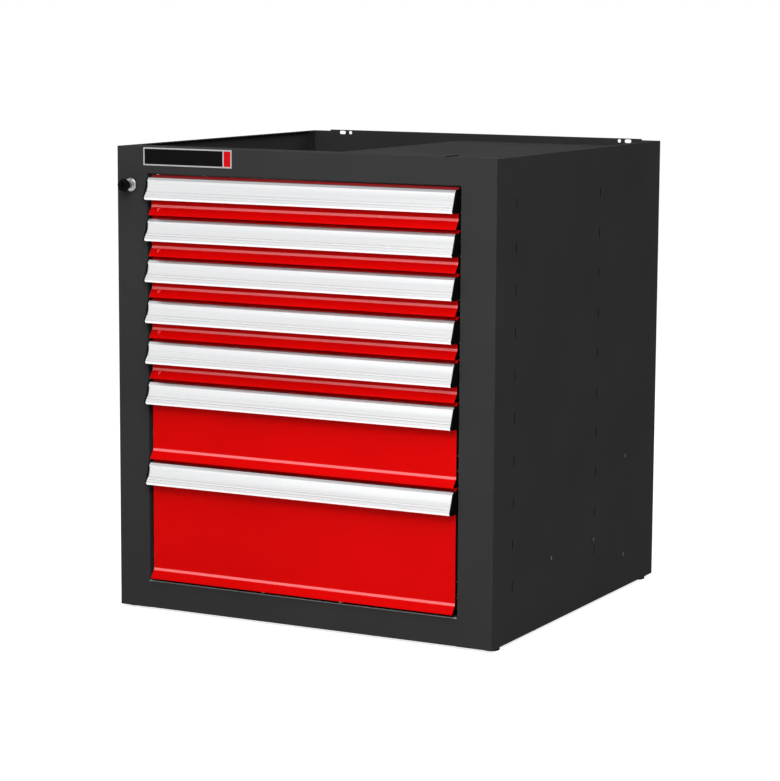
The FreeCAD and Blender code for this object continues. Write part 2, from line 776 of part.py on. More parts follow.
def lock_barrel():
    """Domed rosette and stem in front of the stile, a tail through it, and the nut behind."""
    rosette = cylinder_along_y(ROSETTE_RADIUS, LOCK_X, LOCK_CENTRE_Z, FRONT - ROSETTE_REACH, FRONT)
    rosette = rosette.makeFillet(ROSETTE_SOFT, front_edges(rosette))
    stem = cylinder_along_y(STEM_RADIUS, LOCK_X, LOCK_CENTRE_Z, FRONT - STEM_REACH, FRONT)
    tail = cylinder_along_y(BARREL_RADIUS, LOCK_X, LOCK_CENTRE_Z, FRONT, FRONT + BARREL_TAIL)
    bore = cylinder_along_y(SPINDLE_RADIUS + SPINDLE_GAP, LOCK_X, LOCK_CENTRE_Z,
                            FRONT - STEM_REACH - OVERRUN, FRONT + BARREL_TAIL + OVERRUN)
    barrel = joined([rosette, stem, tail]).cut(bore)
    corner_radius = NUT_FLATS / 2 / math.cos(math.pi / NUT_SIDES)
    corners = []
    for side in range(NUT_SIDES):
        angle = 2 * math.pi * side / NUT_SIDES
        corners.append((LOCK_X + corner_radius * math.cos(angle), LOCK_CENTRE_Z + corner_radius * math.sin(angle)))
    seat = FRONT + SHEET
    nut = prism("XZ", corners, seat, seat + NUT_THICKNESS)
    hole = cylinder_along_y(BARREL_RADIUS, LOCK_X, LOCK_CENTRE_Z, seat - OVERRUN, seat + NUT_THICKNESS + OVERRUN)
    return [barrel, nut.cut(hole)]


def lock_knob():
    """Round knob on a tapered neck, with a key slot in its face."""
    face = FRONT - KNOB_REACH
    rim_back = FRONT - KNOB_RIM_REACH
    disc = cylinder_along_y(KNOB_RADIUS, LOCK_X, LOCK_CENTRE_Z, face, rim_back)
    disc = disc.makeFillet(KNOB_SOFT, front_edges(disc))
    neck = Part.makeCone(KNOB_RADIUS, KNOB_NECK_RADIUS, KNOB_RIM_REACH - KNOB_NECK_REACH,
                         FreeCAD.Vector(LOCK_X, rim_back, LOCK_CENTRE_Z), FreeCAD.Vector(0, 1, 0))
    half_length = KEYHOLE_LENGTH / 2
    half_width = KEYHOLE_WIDTH / 2
    keyhole = box(LOCK_X - half_width, face - OVERRUN, LOCK_CENTRE_Z - half_length,
                  LOCK_X + half_width, face + KEYHOLE_DEPTH, LOCK_CENTRE_Z + half_length)
    return joined([disc, neck]).cut(keyhole)


def cam_pin_place():
    """Middle of the cam's pin at rest, (x, z)."""
    angle = math.radians(CAM_REST_ANGLE)
    return LOCK_X + CAM_THROW * math.cos(angle), LOCK_CENTRE_Z + CAM_THROW * math.sin(angle)


def lock_cam():
    """Spindle from the knob, the cam disc behind the barrel, and the pin that lifts the bar."""
    knob_back = FRONT - KNOB_NECK_REACH
    disc_front = FRONT + BARREL_TAIL + CAM_GAP
    disc_back = disc_front + CAM_THICKNESS
    pin_x, pin_z = cam_pin_place()
    return joined([
        cylinder_along_y(SPINDLE_RADIUS, LOCK_X, LOCK_CENTRE_Z, knob_back, disc_front),
        cylinder_along_y(CAM_RADIUS, LOCK_X, LOCK_CENTRE_Z, disc_front, disc_back),
        cylinder_along_y(PIN_RADIUS, pin_x, pin_z, disc_back, BAR_BACK_Y + OVERRUN),
    ])


def lock_bar():
    """Upright bar with a slotted head at the cam, and a hook for each drawer."""
    near = FRONT + BAR_FRONT_Y
    far = near + BAR_THICKNESS
    pin_x, pin_z = cam_pin_place()
    last = len(DRAWER_MODULES)
    low = stud_height(last) - LOCK_TRAVEL - BAR_END_MARGIN
    strip = box(BAR_LEFT_X, near, low, BAR_RIGHT_X, far, pin_z)
    head = box(BAR_HEAD_LEFT_X, near, pin_z - BAR_HEAD_HALF_HEIGHT, BAR_RIGHT_X, far, pin_z + BAR_HEAD_HALF_HEIGHT)
    reach = CAM_THROW - (pin_x - LOCK_X) + PIN_RADIUS + PIN_GAP
    slot = box(pin_x - reach, near - OVERRUN, pin_z - PIN_RADIUS - PIN_GAP,
               pin_x + reach, far + OVERRUN, pin_z + PIN_RADIUS + PIN_GAP)
    solids = [joined([strip, head]).cut(slot)]
    for number in range(1, last + 1):
        z = stud_height(number) - LOCK_TRAVEL
        solids.append(box(HOOK_LEFT_X, far, z - HOOK_HALF_HEIGHT, HOOK_TIP_X, far + BAR_THICKNESS,
                          z + HOOK_HALF_HEIGHT))
    return solids


def lock_bar_guides():
    """Blocks on the back of the stile that the bar runs in."""
    near = FRONT + BAR_FRONT_Y
    far = near + BAR_THICKNESS
    solids = []
    for number in GUIDE_DRAWERS:
        z = slide_height(number)
        block = box(BAR_LEFT_X - GUIDE_MARGIN, FRONT + SHEET, z - GUIDE_HALF_HEIGHT,
                    BAR_RIGHT_X + GUIDE_RIGHT_MARGIN, far + GUIDE_MARGIN, z + GUIDE_HALF_HEIGHT)
        run = box(BAR_LEFT_X - GUIDE_GAP, near - GUIDE_GAP, z - GUIDE_HALF_HEIGHT,
                  BAR_RIGHT_X + GUIDE_GAP, far + GUIDE_GAP, z + GUIDE_HALF_HEIGHT)
        solids.append(block.cut(run))
    return solids


def write(name, made):
    """Save one node; a list becomes a group of separate solids."""
    shape = Part.makeCompound(made) if isinstance(made, list) else made
    for solid in shape.Solids:
        if not solid.isValid() or solid.Volume <= 0:
            print("bad solid in", name)
    size = shape.BoundBox
    print(name, len(shape.Solids), "solids", round(size.XLength, 1), round(size.YLength, 1), round(size.ZLength, 1))
    shape.exportStep("parts/" + name + ".step")


def main():
    os.makedirs("parts", exist_ok=True)
    write("left_side_panel", left_side_panel())
    write("right_side_panel", right_side_panel())
    write("back_panel", back_panel())
    write("top_rail", top_rail())
    write("bottom_rail", bottom_rail())
    write("floor_panel", floor_panel())
    write("top_cover_plate", top_cover_plate())
    write("feet", feet())
    write("side_inserts", side_inserts())
    write("slide_brackets", slide_brackets())
    write("slide_rails", slide_rails())
    write("name_plate", name_plate())
    write("rest_pads", rest_pads())
    write("lock_barrel", lock_barrel())
    write("lock_knob", lock_knob())
    write("lock_cam", lock_cam())
    write("lock_bar", lock_bar())
    write("lock_bar_guides", lock_bar_guides())
    for number in range(1, len(DRAWER_MODULES) + 1):
        drawer = "drawer_" + str(number)
        write(drawer + "_tray", tray(number))
        write(drawer + "_front", front_panel(number))
        write(drawer + "_handle", handle(number))
        write(drawer + "_end_caps", end_caps(number))
        write(drawer + "_inner_slides", inner_slides(number))
        write(drawer + "_middle_slides", middle_slides(number))


main()
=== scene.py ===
import bmesh
import bpy
import json
import math
from mathutils import Matrix, Vector
from mathutils.geometry import tessellate_polygon

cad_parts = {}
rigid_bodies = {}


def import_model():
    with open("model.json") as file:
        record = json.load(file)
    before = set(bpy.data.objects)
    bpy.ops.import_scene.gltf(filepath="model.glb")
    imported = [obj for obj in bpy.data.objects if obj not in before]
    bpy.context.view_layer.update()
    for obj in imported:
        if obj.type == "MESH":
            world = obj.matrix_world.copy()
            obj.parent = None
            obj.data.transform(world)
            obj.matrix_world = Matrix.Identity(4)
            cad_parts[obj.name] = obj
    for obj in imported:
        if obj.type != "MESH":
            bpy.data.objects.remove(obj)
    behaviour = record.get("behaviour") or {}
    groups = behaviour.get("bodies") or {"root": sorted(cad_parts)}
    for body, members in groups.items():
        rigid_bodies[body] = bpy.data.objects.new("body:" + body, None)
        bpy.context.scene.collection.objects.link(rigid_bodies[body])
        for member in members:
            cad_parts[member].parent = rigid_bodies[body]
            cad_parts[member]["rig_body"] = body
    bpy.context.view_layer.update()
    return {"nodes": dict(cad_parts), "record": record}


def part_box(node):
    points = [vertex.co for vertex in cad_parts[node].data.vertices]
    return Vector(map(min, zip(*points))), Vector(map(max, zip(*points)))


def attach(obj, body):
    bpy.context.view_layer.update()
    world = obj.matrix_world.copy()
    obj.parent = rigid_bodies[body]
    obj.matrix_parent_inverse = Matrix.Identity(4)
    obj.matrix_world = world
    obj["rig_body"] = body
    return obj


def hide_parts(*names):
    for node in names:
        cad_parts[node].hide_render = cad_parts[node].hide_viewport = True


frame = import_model()

# Sizes are in millimetres and become metres in the meshes. X runs right, Y to the back, Z up.
MM = 0.001

# Points nearer than these distances are one, and edges between these angles stay as they are.
MERGE_DISTANCE = 0.01
RING_DISTANCE = 0.001
FLAT_ANGLE = math.radians(1)
SHARP_ANGLE = math.radians(35)

# Casing
FRONT = -331.5
BACK = 358.5
SIDE = 359.0
BASE = 5.0
TOP = 804.0
OPENING_LEFT = -299.0
OPENING_RIGHT = 295.0
OPENING_TOP = 758.5
OPENING_BOTTOM = 53.5
STILE_FOLD = 2.0
RAIL_DEPTH = 50.0
SEAM_X = 266.5
SEAM_HALF = 0.8
SEAM_RISE = 1.3
HOOK_SLOTS = (FRONT + 76.4, FRONT + 417.0)
HOOK_SLOT_SPAN = (80.0, 745.0)
HOOK_SLOT_REACH = 1.6
HIGHLIGHT_REACH = 1.8
SHEET_EDGE = 0.3
FINE_EDGE = 0.2

# Spot welds down the back
WELD_INSET = 9.0
WELD_RISE = 40.0
WELD_STEP = 60.0
WELD_COUNT = 13

# Feet, threaded inserts and nylon buttons
FOOT_RADIUS = 14.0
FOOT_HEIGHT = 5.0
FOOT_X = SIDE - 15.0
FOOT_ROWS = (FRONT + 30.0, FRONT + 655.0)
STUD_RADIUS = 4.0
STUD_RISE = 6.0
INSERT_PLACES = [(FRONT + y, BASE + z)
                 for y, z in ((231.0, 113.0), (411.0, 113.0), (548.5, 62.0), (548.5, 242.0))]
INSERT_DEPTH = 13.0
INSERT_BORE = 3.0
INSERT_THREAD = 3.55
BORE_REACH = 3.6
THREAD_PITCH = 1.0
BUTTON_RADIUS = 4.0
BUTTON_HEIGHT = 2.0
BUTTON_PLACES = (-75.0, 75.0)
TOP_BUTTON_RADIUS = 2.5
TOP_BUTTON_HEIGHT = 0.9
TOP_BUTTON_X = -278.0

# Bare plate
PLATE_RIM = 2.4
PLATE_BAR = 13.0
PLATE_RECESS = 0.5

# Drawer fronts, handles and caps
DRAWERS = range(1, 8)
MARKED_DRAWERS = 5
MARK_X = -275.0
PANEL_FACE = FRONT + 1.5
PANEL_HALF = 290.7
PANEL_SHEET = 1.5
PANEL_RETURN = 11.0
LIP_HEIGHT = 15.3
LIP_REACH = 10.0
LIP_HEM = 1.8
LIP_FOLD = 7.0
TOP_SLOPE = (3.0, 4.5)
TOP_FOLD = 1.5
FOLD = 0.8
HANDLE_HALF = 290.5
HANDLE_WALL = 2.0
HANDLE_KNEE_RADIUS = 50.0
HANDLE_BEVEL = (11.8, 4.5)
HANDLE_KNEE = (13.1, 17.0)
HANDLE_BEAD = (23.0, 34.0)
HANDLE_TIP = (20.6, 37.3)
HANDLE_STEPS = ((26.4, 0), (26.8, 0.3), (27.6, 0.3), (28.0, 0),
                (30.7, 0), (31.0, 0.4), (31.7, 0.4), (32.0, 0))
STRIP_TOP = 7.0
STRIP_BOTTOM = 24.0
STRIP_DEPTH = 0.6
STRIP_POINTS = 10
CAP_THICKNESS = 2.7

# Trays and slides. A channel or a stop is its web and tip in x, on the left, and half its height.
TRAY_HALF = 283.7
TRAY_NEAR = PANEL_FACE + PANEL_SHEET
TRAY_DEPTH = 609.0
TRAY_SHEET = 1.0
SLIDE_LENGTH = 600.0
SLIDE_GAUGE = 1.2
SLIDE_FOLD = 1.2
INNER_HALF_HEIGHT = 13.0
INNER_CHANNEL = (-TRAY_HALF, -291.5, INNER_HALF_HEIGHT)
MIDDLE_CHANNEL = (-293.9, -285.9, 15.4)
OUTER_CHANNEL = (-296.4, -287.0, 17.65)
MIDDLE_STOP = (-292.5, -286.4, 13.6)
OUTER_STOP = (-295.0, -287.6, 15.8)
INNER_START = 8.0
MIDDLE_START = 18.0
OUTER_START = 28.0
STOP_RECESS = 1.0
STOP_DEPTH = 8.0
STOP_SUNK = 1.6
SCREW_ROWS = (52.0, 304.0, 556.0)
RIVET_ROWS = (76.0, 330.0, 590.0)
RIVET_X = 295.2
TRAY_WELD_INSET = 7.0
TRAY_WELD_GAP = 40.0

# Slots for dividers in the trays' sides
DIVIDER_SLOT = (9.0, 1.6)
DIVIDER_RIM = 1.0
DIVIDER_START = TRAY_NEAR + 52.0
DIVIDER_COUNT = 30
DIVIDER_STEP = 17.0
DIVIDER_FOOT = 16.0
DIVIDER_HEADROOM = 12.0
DIVIDER_ROW_GAP = 50.0

# Lock
LOCK = Vector((-330.2, FRONT, 739.0))
LOCK_STUD_Y = FRONT + 28.5
LOCK_STUD_TIP = -295.8
LOCK_STUD_DROP = 26.0
LOCK_STUD_RADIUS = 4.0
LOCK_STUD_WAIST = 3.0
BARREL_BORE = 4.2
BARREL_RADIUS = 9.5
BARREL_LENGTH = 12.0
BARREL_THREADS = 11
STEM_REACH = 14.7
KNOB_DISH = 23.6

# Photo: its width and the focal length in pixels, and the camera's place in metres and turns in degrees
PHOTO_WIDTH = 780
FOCAL_LENGTH = 2650.57
SENSOR_WIDTH = 36
CAMERA_PLACE = (2.15646, -4.13732, 1.04412)
CAMERA_HEADING = 27.567
CAMERA_TILT = -8.271
CAMERA_ROLL = -0.342

# Lamps: name, place, target, width and height in metres, watts, and whether reflections show it
LAMPS = (
    ("key", (0.85, -2.4, 1.65), (0.1, -0.3, 0.45), 0.9, 0.9, 37.5, False),
    ("top_front", (0.5, -1.7, 2.7), (0.0, -0.33, 0.4), 1.7, 1.5, 29, True),
    ("rear", (1.2, 2.4, 1.7), (0.0, 0.3, 0.45), 1.2, 1.0, 18, True),
    ("strip_left", (-0.9, -2.9, 0.8), (0.1, -0.33, 0.45), 1.1, 1.2, 1.5, True),
)
FLOOR_HALF = 40.0
FLOOR_GLOW = 0.82
WORLD_LIGHT = 0.24
CEILING_FROM = 0.75
CEILING_TO = 0.95

FORWARD = Vector((0, -1, 0))
BACKWARD = Vector((0, 1, 0))
UP = Vector((0, 0, 1))
RIGHT = Vector((1, 0, 0))


# Materials


class Signal:
    """An output of a material's nodes that takes part in ordinary arithmetic."""

    def __init__(self, owner, socket):
        self.owner = owner
        self.socket = socket

    def maths(self, operation, first, second):
        """One Math node on two signals or numbers."""
        return self.owner.node("ShaderNodeMath", {"operation": operation}, {0: first, 1: second})

    def __add__(self, other):
        return self.maths("ADD", self, other)

    __radd__ = __add__

    def __sub__(self, other):
        return self.maths("SUBTRACT", self, other)

    def __rsub__(self, other):
        return self.maths("SUBTRACT", other, self)

    def __mul__(self, other):
        return self.maths("MULTIPLY", self, other)

    __rmul__ = __mul__


class NodeWork:
    """The nodes of a material or of the world, written as plain calls."""

    def feed(self, socket, value):
        """Links a signal to an input, or writes a plain value into it."""
        if isinstance(value, Signal):
            self.links.new(value.socket, socket)
        else:
            socket.default_value = value

    def node(self, kind, settings, sockets, output=0):
        """Any node: its settings come first, then the values or links of its sockets."""
        made = self.nodes.new(kind)
        for name, value in settings.items():
            setattr(made, name, value)
        for key, value in sockets.items():
            self.feed(made.inputs[key], value)
        return Signal(self, made.outputs[output])

    def mix(self, factor, first, second):
        """One colour going over to another as the factor rises from 0 to 1."""
        return self.node("ShaderNodeMix", {"data_type": "RGBA"}, {0: factor, 6: first, 7: second}, 2)

    def seen(self):
        """1 for what shows straight on, in a reflection or through glass, and 0 as light on the object."""
        rays = [self.node("ShaderNodeLightPath", {}, {}, "Is %s Ray" % kind)
                for kind in ("Camera", "Glossy", "Transmission")]
        return rays[0] + rays[1] + rays[2]

    def set(self, **values):
        """Inputs of the shader, with underscores for spaces."""
        for name, value in values.items():
            self.feed(self.shader.inputs[name.replace("_", " ")], value)


def grey(level):
    """A neutral colour."""
    return (level, level, level, 1)


class Finish(NodeWork):
    """One material with its nodes. Patterns sit on Object coordinates, in metres."""

    def __init__(self, name):
        self.material = bpy.data.materials.new(name)
        self.material.use_nodes = True
        self.nodes = self.material.node_tree.nodes
        self.links = self.material.node_tree.links
        self.shader = self.nodes["Principled BSDF"]
        self.place = self.node("ShaderNodeTexCoord", {}, {}, "Object")

    def noise(self, size, detail=2.0, stretch=(1, 1, 1)):
        """Noise from 0 to 1 in blotches of a size in millimetres, drawn out along an axis by stretch."""
        scale = tuple(1 / (size * MM * longer) for longer in stretch)
        place = self.node("ShaderNodeMapping", {}, {"Vector": self.place, "Scale": scale})
        return self.node("ShaderNodeTexNoise", {}, {"Vector": place, "Scale": 1.0, "Detail": detail})

    def between(self, signal, low, high):
        """0 below one level, 1 above another, and even in between."""
        return self.node("ShaderNodeMapRange", {}, {"Value": signal, "From Min": low, "From Max": high})

    def rubbing_and_light_share(self, steady):
        """The marked faces of a piece from 0 to 1, which are edges paled by rubbing on some pieces and
        painted highlights and painted shade on others: a steady share, and the rest broken up by noise.
        """
        edge = self.node("ShaderNodeAttribute", {"attribute_name": "edge_wear"}, {}, "Fac")
        return edge * (steady + (1 - steady) * self.between(self.noise(12, 3.0), 0.35, 0.7))

    def relief(self, *layers):
        """Bumps, each a height signal and its depth in millimetres, one on top of another."""
        normal = None
        for height, depth in layers:
            sockets = {"Height": height, "Distance": depth * MM, "Strength": 1.0}
            if normal:
                sockets["Normal"] = normal
            normal = self.node("ShaderNodeBump", {}, sockets)
        self.feed(self.shader.inputs["Normal"], normal)


def shade(colour, level):
    """A colour made lighter or darker."""
    return tuple(min(1.0, part * level) for part in colour) + (1,)


def powder_coat(name, colour, rubbing_and_light_colour, roughness, specular, steady):
    """Baked powder paint: fine grain over a soft orange peel, and another colour on the marked faces: paler
    rubbing on the casing and trays, a painted highlight on the red fronts and the bottom rail, painted
    shade in the hook slots, and the bare thread in the inserts.
    """
    finish = Finish(name)
    cloud = finish.between(finish.noise(170, 3.0), 0.3, 0.7)
    fleck = finish.between(finish.noise(1.1, 1.0), 0.25, 0.75)
    scuff = finish.between(finish.noise(26, 5.0), 0.62, 0.78)
    rubbing_and_light_share = finish.rubbing_and_light_share(steady)
    body = finish.mix(cloud, shade(colour, 0.94), shade(colour, 1.06))
    body = finish.mix(0.4 * fleck, body, shade(colour, 1.15))
    finish.set(
        Base_Color=finish.mix(rubbing_and_light_share, body, rubbing_and_light_colour + (1,)),
        Roughness=roughness + 0.06 * fleck - 0.05 * cloud - 0.06 * scuff - 0.08 * rubbing_and_light_share,
        Specular_IOR_Level=specular,
    )
    finish.relief((finish.noise(4.5, 2.0), 0.03), (finish.noise(0.7, 2.0), 0.012))
    return finish.material


def anodised_aluminium(name):
    """Extruded aluminium, satin anodised, with fine draw lines along its length."""
    finish = Finish(name)
    lines = finish.noise(0.8, 3.0, stretch=(900, 1, 1))
    bands = finish.noise(5.0, 2.0, stretch=(220, 1, 1))
    streak = finish.between(lines, 0.3, 0.7)
    rubbing_and_light_share = finish.rubbing_and_light_share(0.5)
    colour = finish.mix(streak, (0.76, 0.765, 0.775, 1), (0.84, 0.843, 0.85, 1))
    colour = finish.mix(0.5 * finish.between(bands, 0.35, 0.65), colour, (0.79, 0.795, 0.805, 1))
    finish.set(
        Base_Color=finish.mix(0.5 * rubbing_and_light_share, colour, (0.92, 0.92, 0.925, 1)),
        Metallic=1.0,
        Roughness=0.25 + 0.08 * streak - 0.04 * rubbing_and_light_share,
    )
    finish.relief((lines, 0.008), (bands, 0.006))
    return finish.material


def moulded_plastic(name, colour, roughness, specular, grain):
    """Moulded plastic with a fine eroded grain and faint handling marks."""
    finish = Finish(name)
    smudge = finish.between(finish.noise(18, 3.0), 0.4, 0.7)
    rubbing_and_light_share = finish.rubbing_and_light_share(0.2)
    body = finish.mix(smudge, shade(colour, 0.9), shade(colour, 1.12))
    finish.set(
        Base_Color=finish.mix(0.3 * rubbing_and_light_share, body, shade(colour, 2.0)),
        Roughness=roughness + 0.1 * smudge - 0.1 * rubbing_and_light_share,
        Specular_IOR_Level=specular,
    )
    finish.relief((finish.noise(0.5, 2.0), grain))
    return finish.material


def plated_steel(name, colour, stain_colour, roughness, brushed=(1, 1, 1)):
    """Zinc or nickel over steel: cloudy crystals, fine brushing and slightly warm stains."""
    finish = Finish(name)
    crystals = finish.noise(3.0, 3.0)
    brush = finish.noise(0.6, 2.0, stretch=brushed)
    stain = finish.between(finish.noise(45, 4.0), 0.5, 0.8)
    rubbing_and_light_share = finish.rubbing_and_light_share(0.3)
    body = finish.mix(finish.between(crystals, 0.35, 0.65), shade(colour, 0.93), shade(colour, 1.06))
    body = finish.mix(0.35 * stain, body, stain_colour + (1,))
    finish.set(
        Base_Color=finish.mix(0.5 * rubbing_and_light_share, body, shade(colour, 1.2)),
        Metallic=1.0,
        Roughness=roughness + 0.1 * finish.between(brush, 0.3, 0.7) + 0.08 * stain - 0.05 * rubbing_and_light_share,
    )
    finish.relief((brush, 0.01), (crystals, 0.008))
    return finish.material


def enamel(name, colour):
    """Smooth stove enamel in the fields of the bare plate."""
    finish = Finish(name)
    dust = finish.between(finish.noise(0.8, 2.0), 0.55, 0.8)
    finish.set(
        Base_Color=finish.mix(0.3 * dust, shade(colour, 1.0), shade(colour, 1.5)),
        Roughness=0.4 + 0.12 * dust,
        Specular_IOR_Level=0.03,
    )
    finish.relief((finish.noise(2.5, 2.0), 0.01))
    return finish.material


DARK_GREY = (0.035, 0.0351, 0.0356)
# Darker red of the painted shade on the first front's top slope.
SHADE_RED = (0.2, 0.012, 0.013)

# Powder coats: colour, colour of the marked faces (rubbing, painted highlight, painted shade), roughness,
# specular level, and steady share of the marking
CASING = powder_coat("casing_powder_coat", DARK_GREY, (0.07, 0.07, 0.071), 0.65, 0.005, 0.1)
# The bottom rail's pale marked colour is a painted highlight along its upper fold.
RAIL = powder_coat("rubbed_powder_coat", DARK_GREY, (0.3, 0.3, 0.305), 0.65, 0.005, 0.9)
# Casing coat with the hook slots' cheeks turned black: painted shade.
SLOT_SHADE_COAT = powder_coat("slotted_powder_coat", DARK_GREY, (0.002, 0.002, 0.002), 0.65, 0.005, 1.0)
# The insert flanges' near-black is painted shade for the dark of the holes; the grey on the bores is the
# bare thread.
INSERT_STEEL = powder_coat("insert_steel", (0.003, 0.003, 0.0031), (0.2, 0.2, 0.197), 0.45, 0.02, 1.0)
TRAY = powder_coat("tray_powder_coat", (0.030, 0.0302, 0.031), (0.065, 0.065, 0.067), 0.55, 0.1, 0.1)
# The red coat's pink marked colour is a painted highlight on the lips' folds and on the marks' edges.
RED = powder_coat("red_powder_coat", (0.64, 0.0012, 0.0012), (1.0, 0.20, 0.205), 0.42, 0.035, 0.92)
# A darker red coat: painted shade on the first front's top slope.
RED_PAINTED_SHADE = powder_coat("dull_red_powder_coat", SHADE_RED, SHADE_RED, 0.6, 0.02, 0.0)

# Plastics, and a black phosphate that is partly painted shade in the hook slots: colour, roughness,
# specular level, and depth of the grain
CAP_PLASTIC = moulded_plastic("black_cap_plastic", (0.003, 0.003, 0.0032), 0.7, 0.02, 0.02)
KNOB_PLASTIC = moulded_plastic("black_knob_plastic", (0.002, 0.002, 0.0021), 0.15, 0.04, 0.004)
FOOT_PLASTIC = moulded_plastic("black_glide_plastic", (0.008, 0.008, 0.0085), 0.6, 0.1, 0.02)
RUBBER = moulded_plastic("black_stop_rubber", (0.012, 0.012, 0.012), 0.75, 0.1, 0.03)
NYLON = moulded_plastic("natural_nylon", (0.72, 0.72, 0.69), 0.45, 0.3, 0.01)
# Near-black with no reflection, partly painted shade where the brackets' hooks show in the hook slots.
PHOSPHATE_SLOT_SHADE = moulded_plastic("black_phosphate", (0.003, 0.003, 0.0031), 0.8, 0.0, 0.01)

# Metals and enamel: colour, stain, roughness, and stretch of the brushing
ALUMINIUM = anodised_aluminium("anodised_aluminium")
ZINC = plated_steel("zinc_plated_steel", (0.56, 0.57, 0.58), (0.62, 0.60, 0.52), 0.32, (1, 40, 1))
NICKEL = plated_steel("satin_nickel", (0.42, 0.42, 0.43), (0.38, 0.37, 0.34), 0.34)
PLATE_METAL = plated_steel("satin_plate_metal", (0.46, 0.46, 0.465), (0.42, 0.42, 0.41), 0.34, (30, 1, 1))
DARK_ENAMEL = enamel("dark_plate_enamel", (0.004, 0.004, 0.0045))
RED_ENAMEL = enamel("red_plate_enamel", (0.58, 0.004, 0.008))


# Geometry Nodes trees


def linked(name, data):
    """A new object in the scene."""
    made = bpy.data.objects.new(name, data)
    bpy.context.scene.collection.objects.link(made)
    return made


class Recipe:
    """A Geometry Nodes tree with named inputs. It is run on a mesh, and gives a plain mesh."""

    def __init__(self, name, inputs):
        self.tree = bpy.data.node_groups.new(name, "GeometryNodeTree")
        self.sockets = self.tree.interface
        self.sockets.new_socket("Geometry", in_out="OUTPUT", socket_type="NodeSocketGeometry")
        self.sockets.new_socket("Geometry", in_out="INPUT", socket_type="NodeSocketGeometry")
        for label, kind in inputs.items():
            self.sockets.new_socket(label, in_out="INPUT", socket_type="NodeSocket" + kind)
        self.sockets.new_socket("Finish", in_out="INPUT", socket_type="NodeSocketMaterial")
        self.inputs = self.tree.nodes.new("NodeGroupInput").outputs

    def node(self, kind, settings, sockets, output=0):
        """Any node: its settings come first, then the values or links of its sockets."""
        made = self.tree.nodes.new(kind)
        for name, value in settings.items():
            setattr(made, name, value)
        for key, value in sockets.items():
            if isinstance(value, bpy.types.NodeSocket):
                self.tree.links.new(value, made.inputs[key])
            else:
                made.inputs[key].default_value = value
        return made.outputs[output]

    def close(self, geometry):
        """Every tree ends in Realize Instances and Set Material."""
        real = self.node("GeometryNodeRealizeInstances", {}, {"Geometry": geometry})
        whole = self.node("GeometryNodeSetMaterial", {}, {
            "Geometry": real, "Material": self.inputs["Finish"]})
        self.tree.links.new(whole, self.tree.nodes.new("NodeGroupOutput").inputs[0])
        return self

    def run(self, mesh, **values):
        """The plain mesh that the tree makes of a mesh, with the named inputs given."""
        carrier = linked("carrier", mesh)
        modifier = carrier.modifiers.new("recipe", "NODES")
        modifier.node_group = self.tree
        for item in self.sockets.items_tree:
            label = item.name.replace(" ", "_")
            if item.in_out == "INPUT" and label in values:
                modifier[item.identifier] = values[label]
        graph = bpy.context.evaluated_depsgraph_get()
        made = bpy.data.meshes.new_from_object(carrier.evaluated_get(graph))
        carrier.modifiers.remove(modifier)
        bpy.data.objects.remove(carrier)
        return painted(made, values["Finish"])


def sweep_recipe():
    """Rounds the corners of a closed section, fills it, draws it out, and turns it to its place."""
    recipe = Recipe("swept_section", {
        "Start": "Vector", "Length": "Float", "Turn": "Vector", "Corner steps": "Int"})
    radius = recipe.node("GeometryNodeInputNamedAttribute", {"data_type": "FLOAT"}, {
        "Name": "corner_radius"})
    line = recipe.node("GeometryNodeMeshToCurve", {}, {"Mesh": recipe.inputs["Geometry"]})
    line = recipe.node("GeometryNodeFilletCurve", {"mode": "POLY"}, {
        "Curve": line, "Count": recipe.inputs["Corner steps"], "Radius": radius, "Limit Radius": True})
    face = recipe.node("GeometryNodeFillCurve", {"mode": "NGONS"}, {"Curve": line})
    walls = recipe.node("GeometryNodeExtrudeMesh", {"mode": "FACES"}, {
        "Mesh": face, "Offset": (0, 0, 1), "Offset Scale": recipe.inputs["Length"], "Individual": False})
    near_end = recipe.node("GeometryNodeFlipFaces", {}, {"Mesh": face})
    both = recipe.tree.nodes.new("GeometryNodeJoinGeometry")
    recipe.tree.links.new(walls, both.inputs[0])
    recipe.tree.links.new(near_end, both.inputs[0])
    whole = recipe.node("GeometryNodeMergeByDistance", {}, {
        "Geometry": both.outputs[0], "Distance": MERGE_DISTANCE * MM})
    return recipe.close(recipe.node("GeometryNodeTransform", {}, {
        "Geometry": whole, "Rotation": recipe.inputs["Turn"], "Translation": recipe.inputs["Start"]}))


def rows_recipe():
    """Repeats a small pattern piece along a row, and the row along a second step."""
    recipe = Recipe("rows_of_pieces", {
        "Start": "Vector", "Step": "Vector", "Count": "Int", "Row step": "Vector", "Rows": "Int"})
    line = recipe.node("GeometryNodeMeshLine", {"mode": "OFFSET"}, {
        "Count": recipe.inputs["Count"], "Start Location": recipe.inputs["Start"],
        "Offset": recipe.inputs["Step"]})
    row = recipe.node("GeometryNodeInstanceOnPoints", {}, {
        "Points": line, "Instance": recipe.inputs["Geometry"]})
    starts = recipe.node("GeometryNodeMeshLine", {"mode": "OFFSET"}, {
        "Count": recipe.inputs["Rows"], "Offset": recipe.inputs["Row step"]})
    grid = recipe.node("GeometryNodeInstanceOnPoints", {}, {"Points": starts, "Instance": row})
    return recipe.close(grid)


def places_recipe():
    """Sets a pattern piece at every point, with its own +Z turned to the way that the point faces."""
    recipe = Recipe("pieces_at_places", {"Pattern": "Object"})
    facing = recipe.node("GeometryNodeInputNamedAttribute", {"data_type": "FLOAT_VECTOR"}, {
        "Name": "facing"})
    turn = recipe.node("FunctionNodeAlignRotationToVector", {"axis": "Z"}, {"Vector": facing})
    pattern = recipe.node("GeometryNodeObjectInfo", {}, {"Object": recipe.inputs["Pattern"]}, "Geometry")
    return recipe.close(recipe.node("GeometryNodeInstanceOnPoints", {}, {
        "Points": recipe.inputs["Geometry"], "Instance": pattern, "Rotation": turn}))


